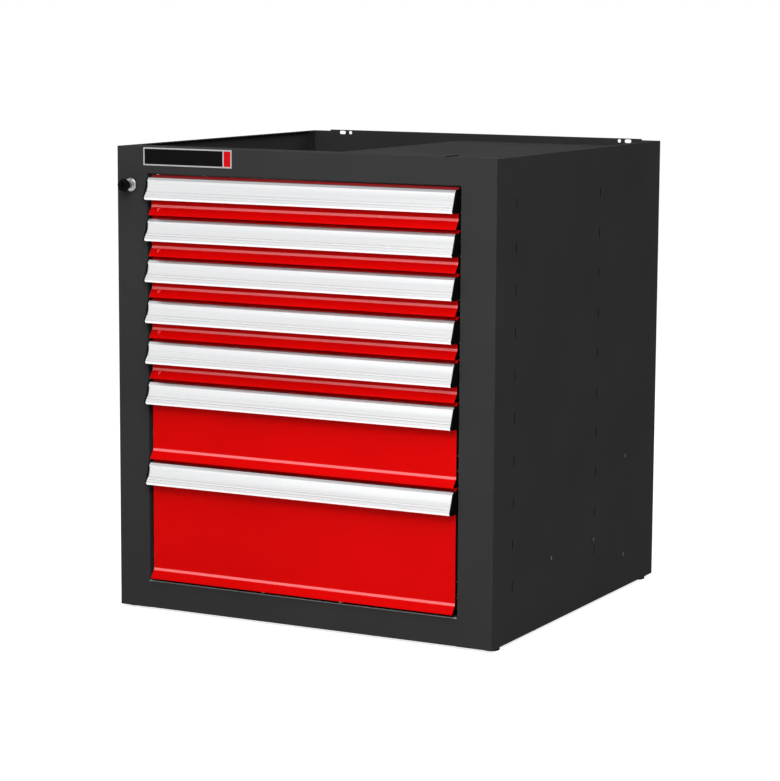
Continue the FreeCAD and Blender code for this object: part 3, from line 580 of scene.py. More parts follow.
SWEEP = sweep_recipe()
ROWS = rows_recipe()
PLACES = places_recipe()

# Turns of a swept section: (y, z) is drawn out to the right, (x, z) forward, and (x, y) upward.
TO_RIGHT = (math.pi / 2, 0.0, math.pi / 2)
TO_FRONT = (math.pi / 2, 0.0, 0.0)
UPWARD = (0.0, 0.0, 0.0)


# Mesh work


def swept(corners, turn, start, length, finish, steps=6):
    """A section with corners (across, up, radius), drawn out by a length from a start, in millimetres."""
    mesh = bpy.data.meshes.new("section")
    count = len(corners)
    mesh.from_pydata([(corner[0] * MM, corner[1] * MM, 0) for corner in corners],
                     [(i, (i + 1) % count) for i in range(count)], [])
    radius = mesh.attributes.new("corner_radius", "FLOAT", "POINT")
    for i, corner in enumerate(corners):
        radius.data[i].value = corner[2] * MM
    return SWEEP.run(mesh, Start=Vector(start) * MM, Length=length * MM, Turn=turn, Corner_steps=steps,
                     Finish=finish)


def rows(pattern, start, step, count, finish, row_step=(0, 0, 0), row_count=1):
    """Copies of a pattern mesh in a row or a grid, with places and steps in millimetres."""
    return ROWS.run(pattern, Start=Vector(start) * MM, Step=Vector(step) * MM, Count=count,
                    Row_step=Vector(row_step) * MM, Rows=row_count, Finish=finish)


def at_places(pattern, places, finish):
    """Copies of a pattern mesh at places (point, facing), in millimetres."""
    mesh = bpy.data.meshes.new("places")
    mesh.from_pydata([Vector(point) * MM for point, facing in places], [], [])
    facing = mesh.attributes.new("facing", "FLOAT_VECTOR", "POINT")
    for i, (point, way) in enumerate(places):
        facing.data[i].vector = way
    carrier = linked("pattern", pattern)
    made = PLACES.run(mesh, Pattern=carrier, Finish=finish)
    bpy.data.objects.remove(carrier)
    return made


def folded_section(path, thickness, fold=FOLD):
    """Section of folded sheet, on the left of a path of corners (across, up) or (across, up, bend)."""
    points = [Vector(corner[:2]) for corner in path]
    bends = [corner[2] if len(corner) > 2 else fold for corner in path]
    ways = [(points[i + 1] - points[i]).normalized() for i in range(len(points) - 1)]
    lefts = [Vector((-way.y, way.x)) for way in ways]
    outer = [(*points[0], 0)]
    inner = [(*(points[0] + lefts[0] * thickness), 0)]
    for i in range(1, len(points) - 1):
        turn = math.atan2(ways[i - 1].cross(ways[i]), ways[i - 1].dot(ways[i]))
        corner = points[i] + (lefts[i - 1] + lefts[i]).normalized() * (thickness / math.cos(turn / 2))
        outer.append((*points[i], bends[i] + thickness if turn > 0 else bends[i]))
        inner.append((*corner, bends[i] if turn > 0 else bends[i] + thickness))
    outer.append((*points[-1], 0))
    inner.append((*(points[-1] + lefts[-1] * thickness), 0))
    return outer + inner[::-1]


def is_narrow(face, width):
    """True for a face that is a narrow strip, such as one of a fold's."""
    return face.calc_area() < width * MM * face.calc_perimeter() / 2


def soften(mesh, width, skip=None, rubbing_and_light_faces=None, segments=2):
    """Rounds the sharp edges of a mesh, and marks either the rounding or the faces that a test picks, for a
    finish's second colour of rubbing, painted highlight and painted shade.
    """
    work = bmesh.new()
    work.from_mesh(mesh)
    rubbing_and_light_share = work.faces.layers.float.new("edge_wear")
    bmesh.ops.remove_doubles(work, verts=work.verts, dist=MERGE_DISTANCE * MM)
    bmesh.ops.dissolve_limit(work, angle_limit=FLAT_ANGLE, verts=work.verts, edges=work.edges)
    sharp = []
    for edge in work.edges:
        if len(edge.link_faces) == 2 and edge.calc_face_angle() > SHARP_ANGLE:
            if not (skip and skip(edge)):
                sharp.append(edge)
    made = bmesh.ops.bevel(work, geom=sharp, offset=width * MM, offset_type="OFFSET", segments=segments,
                           profile=0.5, affect="EDGES", clamp_overlap=False)
    for face in [face for face in work.faces if rubbing_and_light_faces(face)] if rubbing_and_light_faces else made["faces"]:
        face[rubbing_and_light_share] = 1.0
    work.to_mesh(mesh)
    work.free()
    return mesh


def outward_mesh(work, name):
    """The mesh of a closed bmesh, with its faces turned outward."""
    bmesh.ops.recalc_face_normals(work, faces=work.faces)
    mesh = bpy.data.meshes.new(name)
    work.to_mesh(mesh)
    work.free()
    return mesh


def turned(profile, steps=48):
    """Mesh turned about +Z from a profile of (radius, height)."""
    work = bmesh.new()
    rings = []
    for radius, height in profile:
        rings.append([])
        for i in range(steps if radius else 1):
            angle = 2 * math.pi * i / steps
            rings[-1].append(work.verts.new(
                (radius * MM * math.cos(angle), radius * MM * math.sin(angle), height * MM)))
    for low, high in zip(rings, rings[1:]):
        for i in range(steps):
            j = (i + 1) % steps
            corners = [low[i % len(low)], low[j % len(low)], high[j % len(high)], high[i % len(high)]]
            work.faces.new(list(dict.fromkeys(corners)))
    bmesh.ops.remove_doubles(work, verts=work.verts, dist=RING_DISTANCE * MM)
    return outward_mesh(work, "turned")


def rounded(profile, radius, steps=4):
    """A profile with its corners rounded, for a turned piece."""
    result = [profile[0]]
    for before, corner, after in zip(profile, profile[1:], profile[2:]):
        a, b, c = Vector(before), Vector(corner), Vector(after)
        turn = (b - a).angle(c - b, 0)
        setback = min(radius * math.tan(turn / 2), (b - a).length * 0.49, (c - b).length * 0.49)
        first = b + (a - b).normalized() * setback
        last = b + (c - b).normalized() * setback
        for i in range(steps + 1):
            share = i / steps
            result.append(tuple(first.lerp(b, share).lerp(b.lerp(last, share), share)))
    result.append(profile[-1])
    return result


def laid(mesh, direction, place=(0, 0, 0)):
    """A mesh with its +Z turned to a direction and moved to its place, in millimetres."""
    turn = UP.rotation_difference(Vector(direction)).to_matrix().to_4x4()
    mesh.transform(Matrix.Translation(Vector(place) * MM) @ turn)
    return mesh


def slab(outline, low, high, holes=()):
    """Flat slab from an outline (x, y) with holes, between two heights, in millimetres."""
    loops = [outline, *holes]
    flat = [point for loop in loops for point in loop]
    triangles = tessellate_polygon([[Vector((x, y, 0)) for x, y in loop] for loop in loops])
    work = bmesh.new()
    levels = [[work.verts.new((x * MM, y * MM, level * MM)) for x, y in flat] for level in (low, high)]
    for triangle in triangles:
        for level in levels:
            work.faces.new([level[i] for i in triangle])
    start = 0
    for loop in loops:
        for i in range(len(loop)):
            j = start + (i + 1) % len(loop)
            work.faces.new([levels[0][start + i], levels[0][j], levels[1][j], levels[1][start + i]])
        start += len(loop)
    return outward_mesh(work, "slab")


def painted(mesh, finish):
    """A mesh in one finish."""
    mesh.materials.clear()
    mesh.materials.append(finish)
    mesh.polygons.foreach_set("material_index", [0] * len(mesh.polygons))
    return mesh


def together(meshes):
    """One mesh out of several, with their finishes kept."""
    finishes = list(dict.fromkeys(finish for mesh in meshes for finish in mesh.materials))
    work = bmesh.new()
    work.faces.layers.float.new("edge_wear")
    for mesh in meshes:
        before = len(work.faces)
        work.from_mesh(mesh)
        work.faces.ensure_lookup_table()
        rubbing_and_light_share = work.faces.layers.float["edge_wear"]
        marks = mesh.attributes.get("edge_wear")
        for i, face in enumerate(work.faces[before:]):
            face.material_index = finishes.index(mesh.materials[face.material_index])
            face[rubbing_and_light_share] = marks.data[i].value if marks else 0.0
    joined = bpy.data.meshes.new("joined")
    work.to_mesh(joined)
    work.free()
    for finish in finishes:
        joined.materials.append(finish)
    return joined


def piece(name, mesh, body, replaces=(), sharp=30):
    """A finished piece on its body: smooth round its bends, flat on its flats."""
    mesh.name = name
    mesh.shade_smooth()
    mesh.set_sharp_from_angle(angle=math.radians(sharp))
    made = linked(name, mesh)
    made.modifiers.new("flats lead", "WEIGHTED_NORMAL").keep_sharp = True
    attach(made, body)
    for node in replaces:
        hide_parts(node)


def eased(node, width, finish, skip=None, rubbing_and_light_faces=None):
    """A CAD node's shape with its edges softened, in place of the node."""
    cad = frame["nodes"][node]
    mesh = soften(cad.data.copy(), width, skip, rubbing_and_light_faces)
    piece(node + "_finished", painted(mesh, finish), cad["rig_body"], [node])


def top_of(node):
    """Height of a CAD node's highest point, in millimetres."""
    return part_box(node)[1].z / MM


def bottom_of(node):
    """Height of a CAD node's lowest point, in millimetres."""
    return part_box(node)[0].z / MM


def mirrored(corners):
    """A section on the other side of the object."""
    return [(-corner[0],) + tuple(corner[1:]) for corner in reversed(corners)]


# Casing


def beside_rail(edge):
    """True on an edge where a rail meets a stile, which is welded and ground flush."""
    x = (edge.verts[0].co.x + edge.verts[1].co.x) / 2 / MM
    return min(abs(x - OPENING_LEFT), abs(x - OPENING_RIGHT)) < 0.1


def in_shaded_hook_slot(face):
    """True for the cheeks of the hook slots in the sides, which get painted shade."""
    centre = face.calc_center_median() / MM
    return (abs(face.normal.x) < 0.9 and abs(centre.x) > SIDE - 1.5
            and HOOK_SLOT_SPAN[0] < centre.z < HOOK_SLOT_SPAN[1]
            and min(abs(centre.y - y) for y in HOOK_SLOTS) < HOOK_SLOT_REACH)


def on_highlit_fold(face):
    """True for the faces of the bottom rail's upper fold, which get a painted highlight."""
    centre = face.calc_center_median() / MM
    return centre.y < FRONT + HIGHLIGHT_REACH and centre.z > OPENING_BOTTOM - HIGHLIGHT_REACH


def casing_sheets():
    """Panels and rails of the casing."""
    for node in ("left_side_panel", "right_side_panel"):
        # The hook slots' cheeks get painted shade.
        eased(node, SHEET_EDGE, SLOT_SHADE_COAT, rubbing_and_light_faces=in_shaded_hook_slot)
    for node in ("back_panel", "floor_panel", "top_cover_plate"):
        eased(node, SHEET_EDGE, CASING)
    eased("top_rail", SHEET_EDGE, CASING, beside_rail)
    # The bottom rail's upper fold gets a painted highlight.
    eased("bottom_rail", SHEET_EDGE, RAIL, beside_rail, on_highlit_fold)


def ground_welds():
    """Weld metal in the stiles' folds beside the rails, ground flush with the front."""
    meshes = []
    steps = 6
    for edge, way in ((OPENING_LEFT, -1), (OPENING_RIGHT, 1)):
        outline = [(edge, FRONT, 0)]
        for i in range(steps + 1):
            angle = math.pi / 2 * i / steps
            outline.append((edge + way * STILE_FOLD * (1 - math.cos(angle)),
                            FRONT + STILE_FOLD * (1 - math.sin(angle)), 0))
        for low, high in ((BASE, OPENING_BOTTOM), (OPENING_TOP, TOP)):
            meshes.append(swept(outline, UPWARD, (0, 0, low), high - low, CASING, 1))
    piece("ground_welds", together(meshes), "casing")


def flange_seam():
    """Black bead across the top flange, where it meets the right corner: a dark strip that stands as
    painted shade in the joint.
    """
    left, right, top = SEAM_X - SEAM_HALF, SEAM_X + SEAM_HALF, TOP + SEAM_RISE
    section = [(left, TOP - 0.1, 0), (right, TOP - 0.1, 0), (right, top, 0.6), (left, top, 0.6)]
    bead = swept(section, TO_FRONT, (0, FRONT + RAIL_DEPTH, 0), RAIL_DEPTH - 2.0, CAP_PLASTIC)
    piece("flange_seam", soften(bead, FINE_EDGE), "casing")


def spot_welds():
    """Small dimples of spot welds down both edges of the back."""
    dimple = laid(turned([(2.8, 0), (2.5, 0.22), (1.9, 0.25), (1.2, 0.08), (0, 0.05)], 14), BACKWARD)
    mesh = rows(dimple, (WELD_INSET - SIDE, BACK, BASE + WELD_RISE), (0, 0, WELD_STEP), WELD_COUNT, CASING,
                (2 * (SIDE - WELD_INSET), 0, 0), 2)
    piece("spot_welds", mesh, "casing")


def side_inserts():
    """Riveted inserts in the sides: flange outside, thread in the bore, bulge behind the skin."""
    bore = [(INSERT_BORE, 0.1)]
    for i in range(int(INSERT_DEPTH / THREAD_PITCH)):
        bore += [(INSERT_THREAD, -THREAD_PITCH * (i + 0.5)), (INSERT_BORE, -THREAD_PITCH * (i + 1))]
    outside = [(4.5, -INSERT_DEPTH), (4.5, -5.7), (6.0, -5.0), (6.0, -1.9), (4.5, -1.2), (4.5, 0), (5.5, 0),
               (5.5, 0.35), (5.2, 0.5), (3.7, 0.5)]
    insert = turned(bore + outside + bore[:1], 32)
    # The bores are marked for the grey of the bare thread; the rest keeps the near-black that is painted
    # shade for the dark of the holes.
    marks = insert.attributes.new("edge_wear", "FLOAT", "FACE")
    for face in insert.polygons:
        marks.data[face.index].value = float(math.hypot(face.center.x, face.center.y) < BORE_REACH * MM)
    places = [((side * SIDE, y, z), RIGHT * side) for side in (-1, 1) for y, z in INSERT_PLACES]
    mesh = at_places(insert, places, INSERT_STEEL)
    piece("threaded_inserts", mesh, "casing", ["side_inserts"])


def feet():
    """Black glides with a grooved rim, each on a threaded stud."""
    groove = [(FOOT_RADIUS, 2.0), (FOOT_RADIUS - 0.6, 2.4), (FOOT_RADIUS, 2.8)]
    glide = rounded([(0, 0), (FOOT_RADIUS, 0), *groove, (FOOT_RADIUS, FOOT_HEIGHT),
                     (STUD_RADIUS, FOOT_HEIGHT)], 0.6, 2)
    stud = []
    for i in range(int(STUD_RISE)):
        stud += [(STUD_RADIUS - 0.5, FOOT_HEIGHT + i + 0.5), (STUD_RADIUS, FOOT_HEIGHT + i + 1)]
    mesh = turned(glide + stud + [(0, FOOT_HEIGHT + STUD_RISE)], 40)
    places = [((x, y, 0), UP) for x in (-FOOT_X, FOOT_X) for y in FOOT_ROWS]
    piece("glides", at_places(mesh, places, FOOT_PLASTIC), "casing", ["feet"])


def button(radius, height):
    """Domed button on its own +Z."""
    profile = [(0, height), (radius * 0.8, height), (radius, height * 0.4), (radius, 0), (0, 0)]
    return turned(rounded(profile, height * 0.5), 28)


def nylon_buttons():
    """Buttons that the lowest drawer closes above, and one under the top rail."""
    low = [((x, FRONT + 8.0, OPENING_BOTTOM), UP) for x in BUTTON_PLACES]
    high = [((TOP_BUTTON_X, FRONT + 3.0, OPENING_TOP), -UP)]
    meshes = [at_places(button(BUTTON_RADIUS, BUTTON_HEIGHT), low, NYLON),
              at_places(button(TOP_BUTTON_RADIUS, TOP_BUTTON_HEIGHT), high, NYLON)]
    piece("nylon_buttons", together(meshes), "casing", ["rest_pads"])


def bare_plate():
    """Bare plate: a satin rim round a dark field, with a narrow red bar at its right end."""
    low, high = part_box("name_plate")
    eased("name_plate", 0.25, PLATE_METAL)
    left, right = low.x / MM + PLATE_RIM, high.x / MM - PLATE_RIM
    bottom, top = low.z / MM + PLATE_RIM, high.z / MM - PLATE_RIM
    fields = []
    for x0, x1, finish in ((left, right - PLATE_BAR - PLATE_RIM, DARK_ENAMEL),
                           (right - PLATE_BAR, right, RED_ENAMEL)):
        field = soften(slab([(x0, bottom), (x1, bottom), (x1, top), (x0, top)], 0, 0.25), 0.1)
        fields.append(painted(laid(field, FORWARD, (0, low.y / MM + PLATE_RECESS, 0)), finish))
    piece("plate_enamel", together(fields), "casing")


# Lock


def circle(radius, count):
    """Outline of a circle, or of a polygon with a few corners."""
    return [(radius * math.cos(2 * math.pi * i / count), radius * math.sin(2 * math.pi * i / count))
            for i in range(count)]


def lock_barrel():
    """Nickel rosette and stem before the stile, threaded barrel through it, and its nut."""
    rosette = rounded([(BARREL_BORE, STEM_REACH), (6.5, STEM_REACH), (6.5, 6.0), (9.4, 6.0), (11.6, 3.6),
                       (11.6, 0), (BARREL_RADIUS, 0)], 1.3)
    thread = []
    for i in range(BARREL_THREADS):
        thread += [(BARREL_RADIUS - 0.5, -i - 0.5), (BARREL_RADIUS, -i - 1.0)]
    end = [(BARREL_RADIUS, -BARREL_LENGTH), (BARREL_BORE, -BARREL_LENGTH), (BARREL_BORE, STEM_REACH)]
    barrel = turned(rosette + thread + end, 64)
    nut = soften(slab(circle(15.0, 6), -5.2, -1.2, [circle(BARREL_RADIUS, 24)]), 0.5)
    meshes = [painted(laid(mesh, FORWARD, LOCK), NICKEL) for mesh in (barrel, nut)]
    piece("lock_rosette_and_barrel", together(meshes), "casing", ["lock_barrel"])


def lock_knob():
    """Black knob on a tapered neck, with a dished face round a key plug."""
    body = rounded([(0, 15.0), (7.0, 15.0), (10.85, 22.5), (10.85, 27.0), (8.8, 27.0), (7.6, 26.3),
                    (4.4, 26.3), (4.4, KNOB_DISH), (0, KNOB_DISH)], 0.9)
    knob = painted(laid(turned(body, 64), FORWARD, LOCK), KNOB_PLASTIC)
    slit = [(0.7, -3.5), (0.7, 3.5), (-0.7, 3.5), (-0.7, -3.5)]
    plug = soften(slab(circle(4.2, 30), KNOB_DISH, 26.7, [slit]), 0.15)
    plug = painted(laid(plug, FORWARD, LOCK), KNOB_PLASTIC)
    piece("lock_knob_finished", together([knob, plug]), "lock_turn", ["lock_knob"])


def lock_works():
    """The parts of the lock behind the stile."""
    for node in ("lock_cam", "lock_bar"):
        eased(node, FINE_EDGE, ZINC)
    eased("lock_bar_guides", SHEET_EDGE, NYLON)


# Drawer fronts


def lip_mark(fold, edge):
    """Small raised triangle near the left end of a lip."""
    start = Vector((MARK_X, *fold))
    down = Vector((0, edge[0] - fold[0], edge[1] - fold[1])).normalized()
    outward = Vector((0, down.z, -down.y))
    middle = 6.5
    work = bmesh.new()
    rings = []
    for share, rise in ((1.0, -0.2), (0.6, 1.2)):
        rings.append([])
        for x, drop in ((-3.4, 4.0), (3.4, 4.0), (0, 11.5)):
            across = RIGHT * (x * share) + down * (middle + (drop - middle) * share)
            rings[-1].append(work.verts.new((start + across + outward * rise) * MM))
    work.faces.new(rings[0])
    work.faces.new(rings[1])
    for i in range(3):
        j = (i + 1) % 3
        work.faces.new([rings[0][i], rings[0][j], rings[1][j], rings[1][i]])
    # The mark's softened edges take the red coat's painted highlight.
    return painted(soften(outward_mesh(work, "mark"), 0.35), RED)


def drawer_front(number):
    """Folded sheet: top return, short slope (painted shade on the first front), face, and a lip turned out.
    """
    name = "drawer_%d_front" % number
    high, low = top_of(name), bottom_of(name)
    fold = (PANEL_FACE, low + LIP_HEIGHT)
    edge = (PANEL_FACE - LIP_REACH, low + LIP_HEM)
    path = [(PANEL_FACE + PANEL_RETURN, high), (PANEL_FACE + TOP_SLOPE[0], high, TOP_FOLD),
            (PANEL_FACE, high - TOP_SLOPE[1], TOP_FOLD), (*fold, LIP_FOLD), edge, (edge[0], low)]
    sheet = swept(folded_section(path, PANEL_SHEET), TO_RIGHT, (-PANEL_HALF, 0, 0), 2 * PANEL_HALF, RED, 8)

    def on_lip(face):
        """True for the faces of the lip's fold, which get a painted highlight."""
        return is_narrow(face, 0.8) and abs(face.calc_center_median().z - fold[1] * MM) < LIP_FOLD * MM / 2

    sheet = painted(soften(sheet, FINE_EDGE, rubbing_and_light_faces=on_lip), RED)
    # Painted shade: the first front's top slope takes the darker red.
    if number == 1:
        sheet.materials.append(RED_PAINTED_SHADE)
        for face in sheet.polygons:
            face.material_index = int(face.normal.y < 0 and face.center.z > (high - TOP_SLOPE[1]) * MM)
    meshes = [sheet]
    if number <= MARKED_DRAWERS:
        meshes.append(lip_mark(fold, edge))
    piece(name + "_finished", together(meshes), "drawer_%d" % number, [name])


def handle_reach(drop):
    """Reach of a handle's front before the casing, at a drop below its top: two slopes and a knee."""
    bevel, knee, bead = Vector(HANDLE_BEVEL), Vector(HANDLE_KNEE), Vector(HANDLE_BEAD)
    above = (knee - bevel).normalized()
    below = (bead - knee).normalized()
    setback = HANDLE_KNEE_RADIUS * math.tan(above.angle(below) / 2)
    start = knee - above * setback
    end = knee + below * setback
    if drop <= start.y:
        return bevel.x + above.x / above.y * (drop - bevel.y)
    if drop >= end.y:
        return bead.x + below.x / below.y * (drop - bead.y)
    centre = start + Vector((above.y, -above.x)) * HANDLE_KNEE_RADIUS
    return centre.x - math.sqrt(HANDLE_KNEE_RADIUS ** 2 - (drop - centre.y) ** 2)


def handle_section(top):
    """Outline of the extrusion: shoulder, shallow label strip, fine steps, bead and open back."""
    front = [(4.5, 0), (STRIP_TOP - 0.3, 0)]
    for i in range(STRIP_POINTS):
        front.append((STRIP_TOP + (STRIP_BOTTOM - STRIP_TOP) * i / (STRIP_POINTS - 1), STRIP_DEPTH))
    front += [(STRIP_BOTTOM + 0.3, 0), *HANDLE_STEPS]
    corners = [(-1.5, 0, 0.2), (7.8, 0, HANDLE_WALL)]
    corners += [(handle_reach(drop) - sunk, drop, 0.12) for drop, sunk in front]
    corners += [(*HANDLE_BEAD, 1.0), (*HANDLE_TIP, 0.3), (HANDLE_TIP[0] - 2.0, HANDLE_TIP[1] - 1.0, 0.3),
                (HANDLE_BEAD[0] - 2.4, HANDLE_BEAD[1], 0.8)]
    corners += [(handle_reach(drop) - HANDLE_WALL - 0.1, drop, 0.3) for drop in range(30, 7, -3)]
    corners += [(9.8, 4.5, 0.3), (7.8, HANDLE_WALL, 0.3), (0.5, HANDLE_WALL, 0.3), (0.5, 26.0, 0.2),
                (-1.5, 26.0, 0.2)]
    return [(FRONT - reach, top - drop, radius) for reach, drop, radius in corners]


def on_handle_edge(face):
    """True for the narrow strips of a handle, which hands polish."""
    return is_narrow(face, 0.35)


def drawer_handle(number):
    """Full-width extrusion with polished edges."""
    name = "drawer_%d_handle" % number
    section = handle_section(top_of(name))
    mesh = swept(section, TO_RIGHT, (-HANDLE_HALF, 0, 0), 2 * HANDLE_HALF, ALUMINIUM, 3)
    mesh = painted(soften(mesh, 0.12, rubbing_and_light_faces=on_handle_edge), ALUMINIUM)
    piece(name + "_finished", mesh, "drawer_%d" % number, [name], 40)


def end_caps(number):
    """Moulded caps with softly rounded rims."""
    name = "drawer_%d_end_caps" % number
    top = top_of(name)
    corners = [(-1.5, 0, 0.6), (8.0, 0, 1.6), (12.2, 4.9, 1.2), (13.5, 17.4, 40.0), (23.4, 34.4, 1.2),
               (20.6, 38.1, 0.8), (-1.5, 38.1, 0.8)]
    section = [(FRONT - reach, top - drop, radius) for reach, drop, radius in corners]
    meshes = []
    for left in (-HANDLE_HALF - CAP_THICKNESS, HANDLE_HALF):
        cap = swept(section, TO_RIGHT, (left, 0, 0), CAP_THICKNESS, CAP_PLASTIC, 8)
        meshes.append(painted(soften(cap, 0.5, segments=3), CAP_PLASTIC))
    piece(name + "_finished", together(meshes), "drawer_%d" % number, [name])


# Trays and slides


def obround(length, width):
    """Outline of a slot with round ends, along x."""
    outline = []
    for i in range(12):
        angle = math.radians(15 + 30 * i)
        end = math.copysign((length - width) / 2, math.cos(angle))
        outline.append((end + width / 2 * math.cos(angle), width / 2 * math.sin(angle)))
    return outline


def drawer_tray(number):
    """Tray with softened folds, stamped divider slots in its sides, and spot welds at its back."""
    name = "drawer_%d_tray" % number
    cad = frame["nodes"][name]
    meshes = [painted(soften(cad.data.copy(), SHEET_EDGE), TRAY)]
    high, low = top_of(name), bottom_of(name)
    row_count = int((high - low - DIVIDER_FOOT - DIVIDER_HEADROOM) / DIVIDER_ROW_GAP) + 1
    length, width = DIVIDER_SLOT
    rim = obround(length + 2 * DIVIDER_RIM, width + 2 * DIVIDER_RIM)
    for side in (-1, 1):
        slot = laid(slab(rim, 0, 0.35, [obround(length, width)]), RIGHT * -side)
        start = (side * (TRAY_HALF - TRAY_SHEET), DIVIDER_START, low + DIVIDER_FOOT)
        meshes.append(rows(slot, start, (0, DIVIDER_STEP, 0), DIVIDER_COUNT, TRAY,
                           (0, 0, DIVIDER_ROW_GAP), row_count))
    weld = laid(turned([(2.4, 0), (2.1, 0.18), (1.6, 0.2), (1.0, 0.06), (0, 0.04)], 12), BACKWARD)
    weld_count = max(2, int((high - low) / TRAY_WELD_GAP))
    weld_gap = (high - low) / weld_count
    start = (TRAY_WELD_INSET - TRAY_HALF, TRAY_NEAR + TRAY_DEPTH, low + weld_gap / 2)
    across = (2 * (TRAY_HALF - TRAY_WELD_INSET), 0, 0)
    meshes.append(rows(weld, start, (0, 0, weld_gap), weld_count, TRAY, across, 2))
    piece(name + "_finished", together(meshes), "drawer_%d" % number, [name])


def both_hands(section, far, length, edge, finish, steps):
    """A section with softened edges, drawn forward from a far end, and its mirror image."""
    return [painted(soften(swept(hand, TO_FRONT, (0, FRONT + far, 0), length, finish, steps), edge), finish)
            for hand in (section, mirrored(section))]


def slide_member(web, tip, half, z, start):
    """Both hands of a rolled C channel."""
    near, far = (z - half, z + half) if tip < web else (z + half, z - half)
    section = folded_section([(tip, near), (web, near), (web, far), (tip, far)], SLIDE_GAUGE, SLIDE_FOLD)
    return both_hands(section, start + SLIDE_LENGTH, SLIDE_LENGTH, 0.15, ZINC, 4)


def stop_block(web, tip, half, z, start):
    """Both hands of a rubber stop that fills a channel's far end, with ribs across its face."""
    sunk = math.copysign(STOP_SUNK, web - tip)
    section = []
    for i, share in enumerate((-1.0, -0.8, -0.4, 0.0, 0.4, 0.8, 1.0)):
        section.append((tip if i % 2 else tip + sunk, z + half * share, 0.8))
    section += [(web, z + half, 1.0), (web, z - half, 1.0)]
    return both_hands(section, start + SLIDE_LENGTH - STOP_RECESS, STOP_DEPTH, 0.3, RUBBER, 3)


def screw_head():
    """Low pan head with a round recess."""
    return turned(rounded([(3.6, 0), (3.4, 1.1), (2.2, 1.6), (1.3, 1.6), (1.1, 0.7), (0, 0.7)], 0.3, 2), 18)


def rivet_head():
    """Low domed head."""
    return turned([(3.8, 0), (3.6, 0.45), (2.8, 0.8), (1.2, 0.95), (0, 0.98)], 16)


def slide_height(number):
    """Middle height of a drawer's slides."""
    return top_of("drawer_%d_inner_slides" % number) - INNER_HALF_HEIGHT


def drawer_slides(number):
    """Inner members with screws and the lock stud, and middle members with rubber stops."""
    z = slide_height(number)
    meshes = slide_member(*INNER_CHANNEL, z, INNER_START)
    web = TRAY_HALF + SLIDE_GAUGE
    screws = [((side * web, FRONT + y, z), RIGHT * side) for side in (-1, 1) for y in SCREW_ROWS]
    meshes.append(at_places(screw_head(), screws, ZINC))
    reach = -TRAY_HALF - LOCK_STUD_TIP
    thick, thin = LOCK_STUD_RADIUS, LOCK_STUD_WAIST
    shape = [(0, 0), (thick, 0), (thick, 0.45), (thin, 0.55), (thin, 0.75), (thick, 0.85), (thick, 1),
             (0, 1)]
    stud = turned(rounded([(radius, reach * share) for radius, share in shape], 0.5), 32)
    meshes.append(painted(laid(stud, -RIGHT, (-TRAY_HALF, LOCK_STUD_Y, z - LOCK_STUD_DROP)), ZINC))
    inner = "drawer_%d_inner_slides" % number
    piece(inner + "_finished", together(meshes), "drawer_%d" % number, [inner])
    meshes = slide_member(*MIDDLE_CHANNEL, z, MIDDLE_START) + stop_block(*MIDDLE_STOP, z, MIDDLE_START)
    middle = "drawer_%d_middle_slides" % number
    piece(middle + "_finished", together(meshes), "drawer_%d_middle" % number, [middle])


def slide_rails():
    """Outer members on the casing, with rivets through to their brackets and rubber stops."""
    meshes = []
    rivets = []
    for number in DRAWERS:
        z = slide_height(number)
        meshes += slide_member(*OUTER_CHANNEL, z, OUTER_START) + stop_block(*OUTER_STOP, z, OUTER_START)
        rivets += [((side * RIVET_X, FRONT + y, z), -RIGHT * side) for side in (-1, 1) for y in RIVET_ROWS]
    meshes.append(at_places(rivet_head(), rivets, ZINC))
    piece("slide_rails_finished", together(meshes), "casing", ["slide_rails"])
    # The brackets' black phosphate is partly painted shade, where their hooks show in the hook slots.
    eased("slide_brackets", 0.25, PHOSPHATE_SLOT_SHADE)


# Stage


def photo_camera():
    """Camera at the place and angle of the photograph."""
    data = bpy.data.cameras.new("photo_camera")
    data.sensor_width = SENSOR_WIDTH
    data.sensor_fit = "HORIZONTAL"
    data.lens = SENSOR_WIDTH * FOCAL_LENGTH / PHOTO_WIDTH
    data.clip_end = 100
    camera = linked("photo_camera", data)
    heading = Matrix.Rotation(math.radians(CAMERA_HEADING), 4, "Z")
    tilt = Matrix.Rotation(math.radians(CAMERA_TILT), 4, "X")
    roll = Matrix.Rotation(math.radians(CAMERA_ROLL), 4, "Y")
    level = Matrix.Rotation(math.pi / 2, 4, "X")
    camera.matrix_world = Matrix.Translation(CAMERA_PLACE) @ heading @ tilt @ roll @ level
    bpy.context.scene.camera = camera


def lamp(name, place, target, width, height, power, in_reflections):
    """Soft rectangular lamp that faces a target, in metres and watts, and shows in reflections or not."""
    data = bpy.data.lights.new(name, "AREA")
    data.shape = "RECTANGLE"
    data.size = width
    data.size_y = height
    data.energy = power
    made = linked(name, data)
    made.visible_glossy = in_reflections
    way = Vector(target) - Vector(place)
    made.matrix_world = Matrix.Translation(place) @ way.to_track_quat("-Z", "Y").to_matrix().to_4x4()


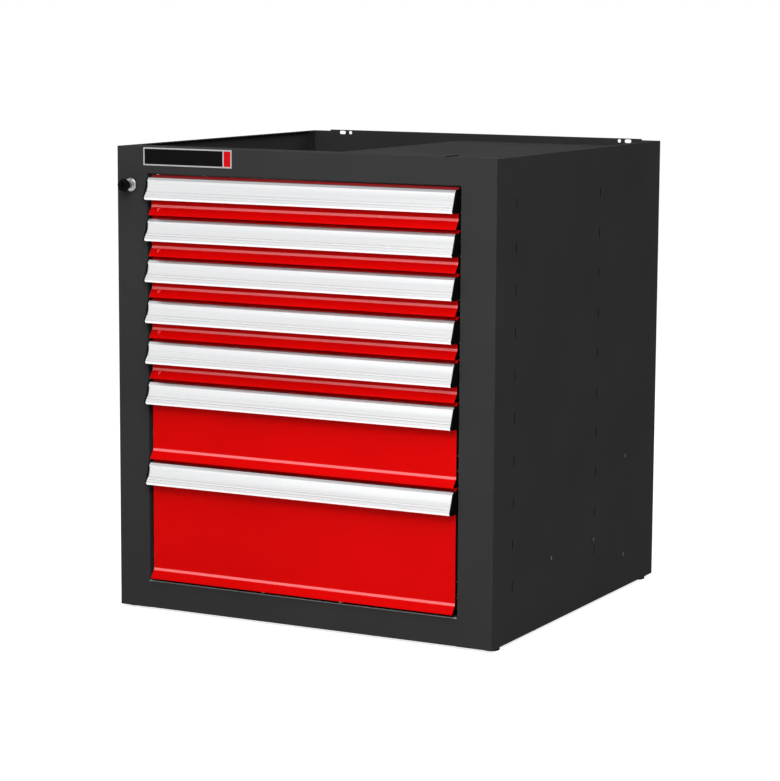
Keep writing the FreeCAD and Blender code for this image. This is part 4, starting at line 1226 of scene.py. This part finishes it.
def studio_floor():
    """Pale studio floor, which keeps the cabinet's soft shadow."""
    mesh = bpy.data.meshes.new("studio_floor")
    corners = [(x * FLOOR_HALF, y * FLOOR_HALF, 0) for x, y in ((-1, -1), (1, -1), (1, 1), (-1, 1))]
    mesh.from_pydata(corners, [], [(0, 1, 2, 3)])
    made = linked("studio_floor", mesh)
    finish = Finish("pale_floor")
    mottle = finish.between(finish.noise(300, 3.0), 0.3, 0.7)
    finish.set(
        Base_Color=finish.mix(mottle, grey(0.78), grey(0.80)),
        Roughness=0.9,
        Specular_IOR_Level=0.0,
        Emission_Color=finish.mix(finish.seen(), grey(0), grey(FLOOR_GLOW)),
        Emission_Strength=1.0,
    )
    mesh.materials.append(finish.material)


class Surroundings(NodeWork):
    """The world: white all round with a dark ceiling where it shows, and dimmer as light on the object."""

    def __init__(self):
        world = bpy.data.worlds.new("studio")
        bpy.context.scene.world = world
        world.use_nodes = True
        self.nodes = world.node_tree.nodes
        self.links = world.node_tree.links
        self.shader = self.nodes["Background"]
        way = self.node("ShaderNodeTexCoord", {}, {}, "Generated")
        height = self.node("ShaderNodeSeparateXYZ", {}, {"Vector": way}, "Z")
        ceiling = self.node("ShaderNodeMapRange", {}, {
            "Value": height, "From Min": CEILING_FROM, "From Max": CEILING_TO})
        shown = self.mix(ceiling, grey(1), (0.15, 0.15, 0.16, 1))
        self.set(Color=self.mix(self.seen(), grey(WORLD_LIGHT), shown), Strength=1.0)


def studio():
    """The world, the floor and the lamps."""
    Surroundings()
    studio_floor()
    for values in LAMPS:
        lamp(*values)


def cad_finishes():
    """Finishes of the CAD nodes, which the finished pieces stand for."""
    finishes = {
        "casing_paint": CASING, "tray_paint": TRAY, "front_paint": RED, "handle_aluminium": ALUMINIUM,
        "cap_plastic": CAP_PLASTIC, "slide_steel": ZINC, "insert_steel": INSERT_STEEL, "lock_metal": NICKEL,
        "lock_steel": ZINC, "knob_plastic": KNOB_PLASTIC, "plate_metal": PLATE_METAL, "white_nylon": NYLON,
        "foot_plastic": FOOT_PLASTIC,
    }
    for row in frame["record"]["subparts"]:
        painted(frame["nodes"][row["node"]].data, finishes[row["material_slot"]])


photo_camera()
studio()
cad_finishes()
casing_sheets()
ground_welds()
flange_seam()
spot_welds()
side_inserts()
feet()
nylon_buttons()
bare_plate()
lock_barrel()
lock_knob()
lock_works()
slide_rails()
for number in DRAWERS:
    drawer_front(number)
    drawer_handle(number)
    end_caps(number)
    drawer_tray(number)
    drawer_slides(number)

bpy.context.scene.view_settings.view_transform = "Standard"
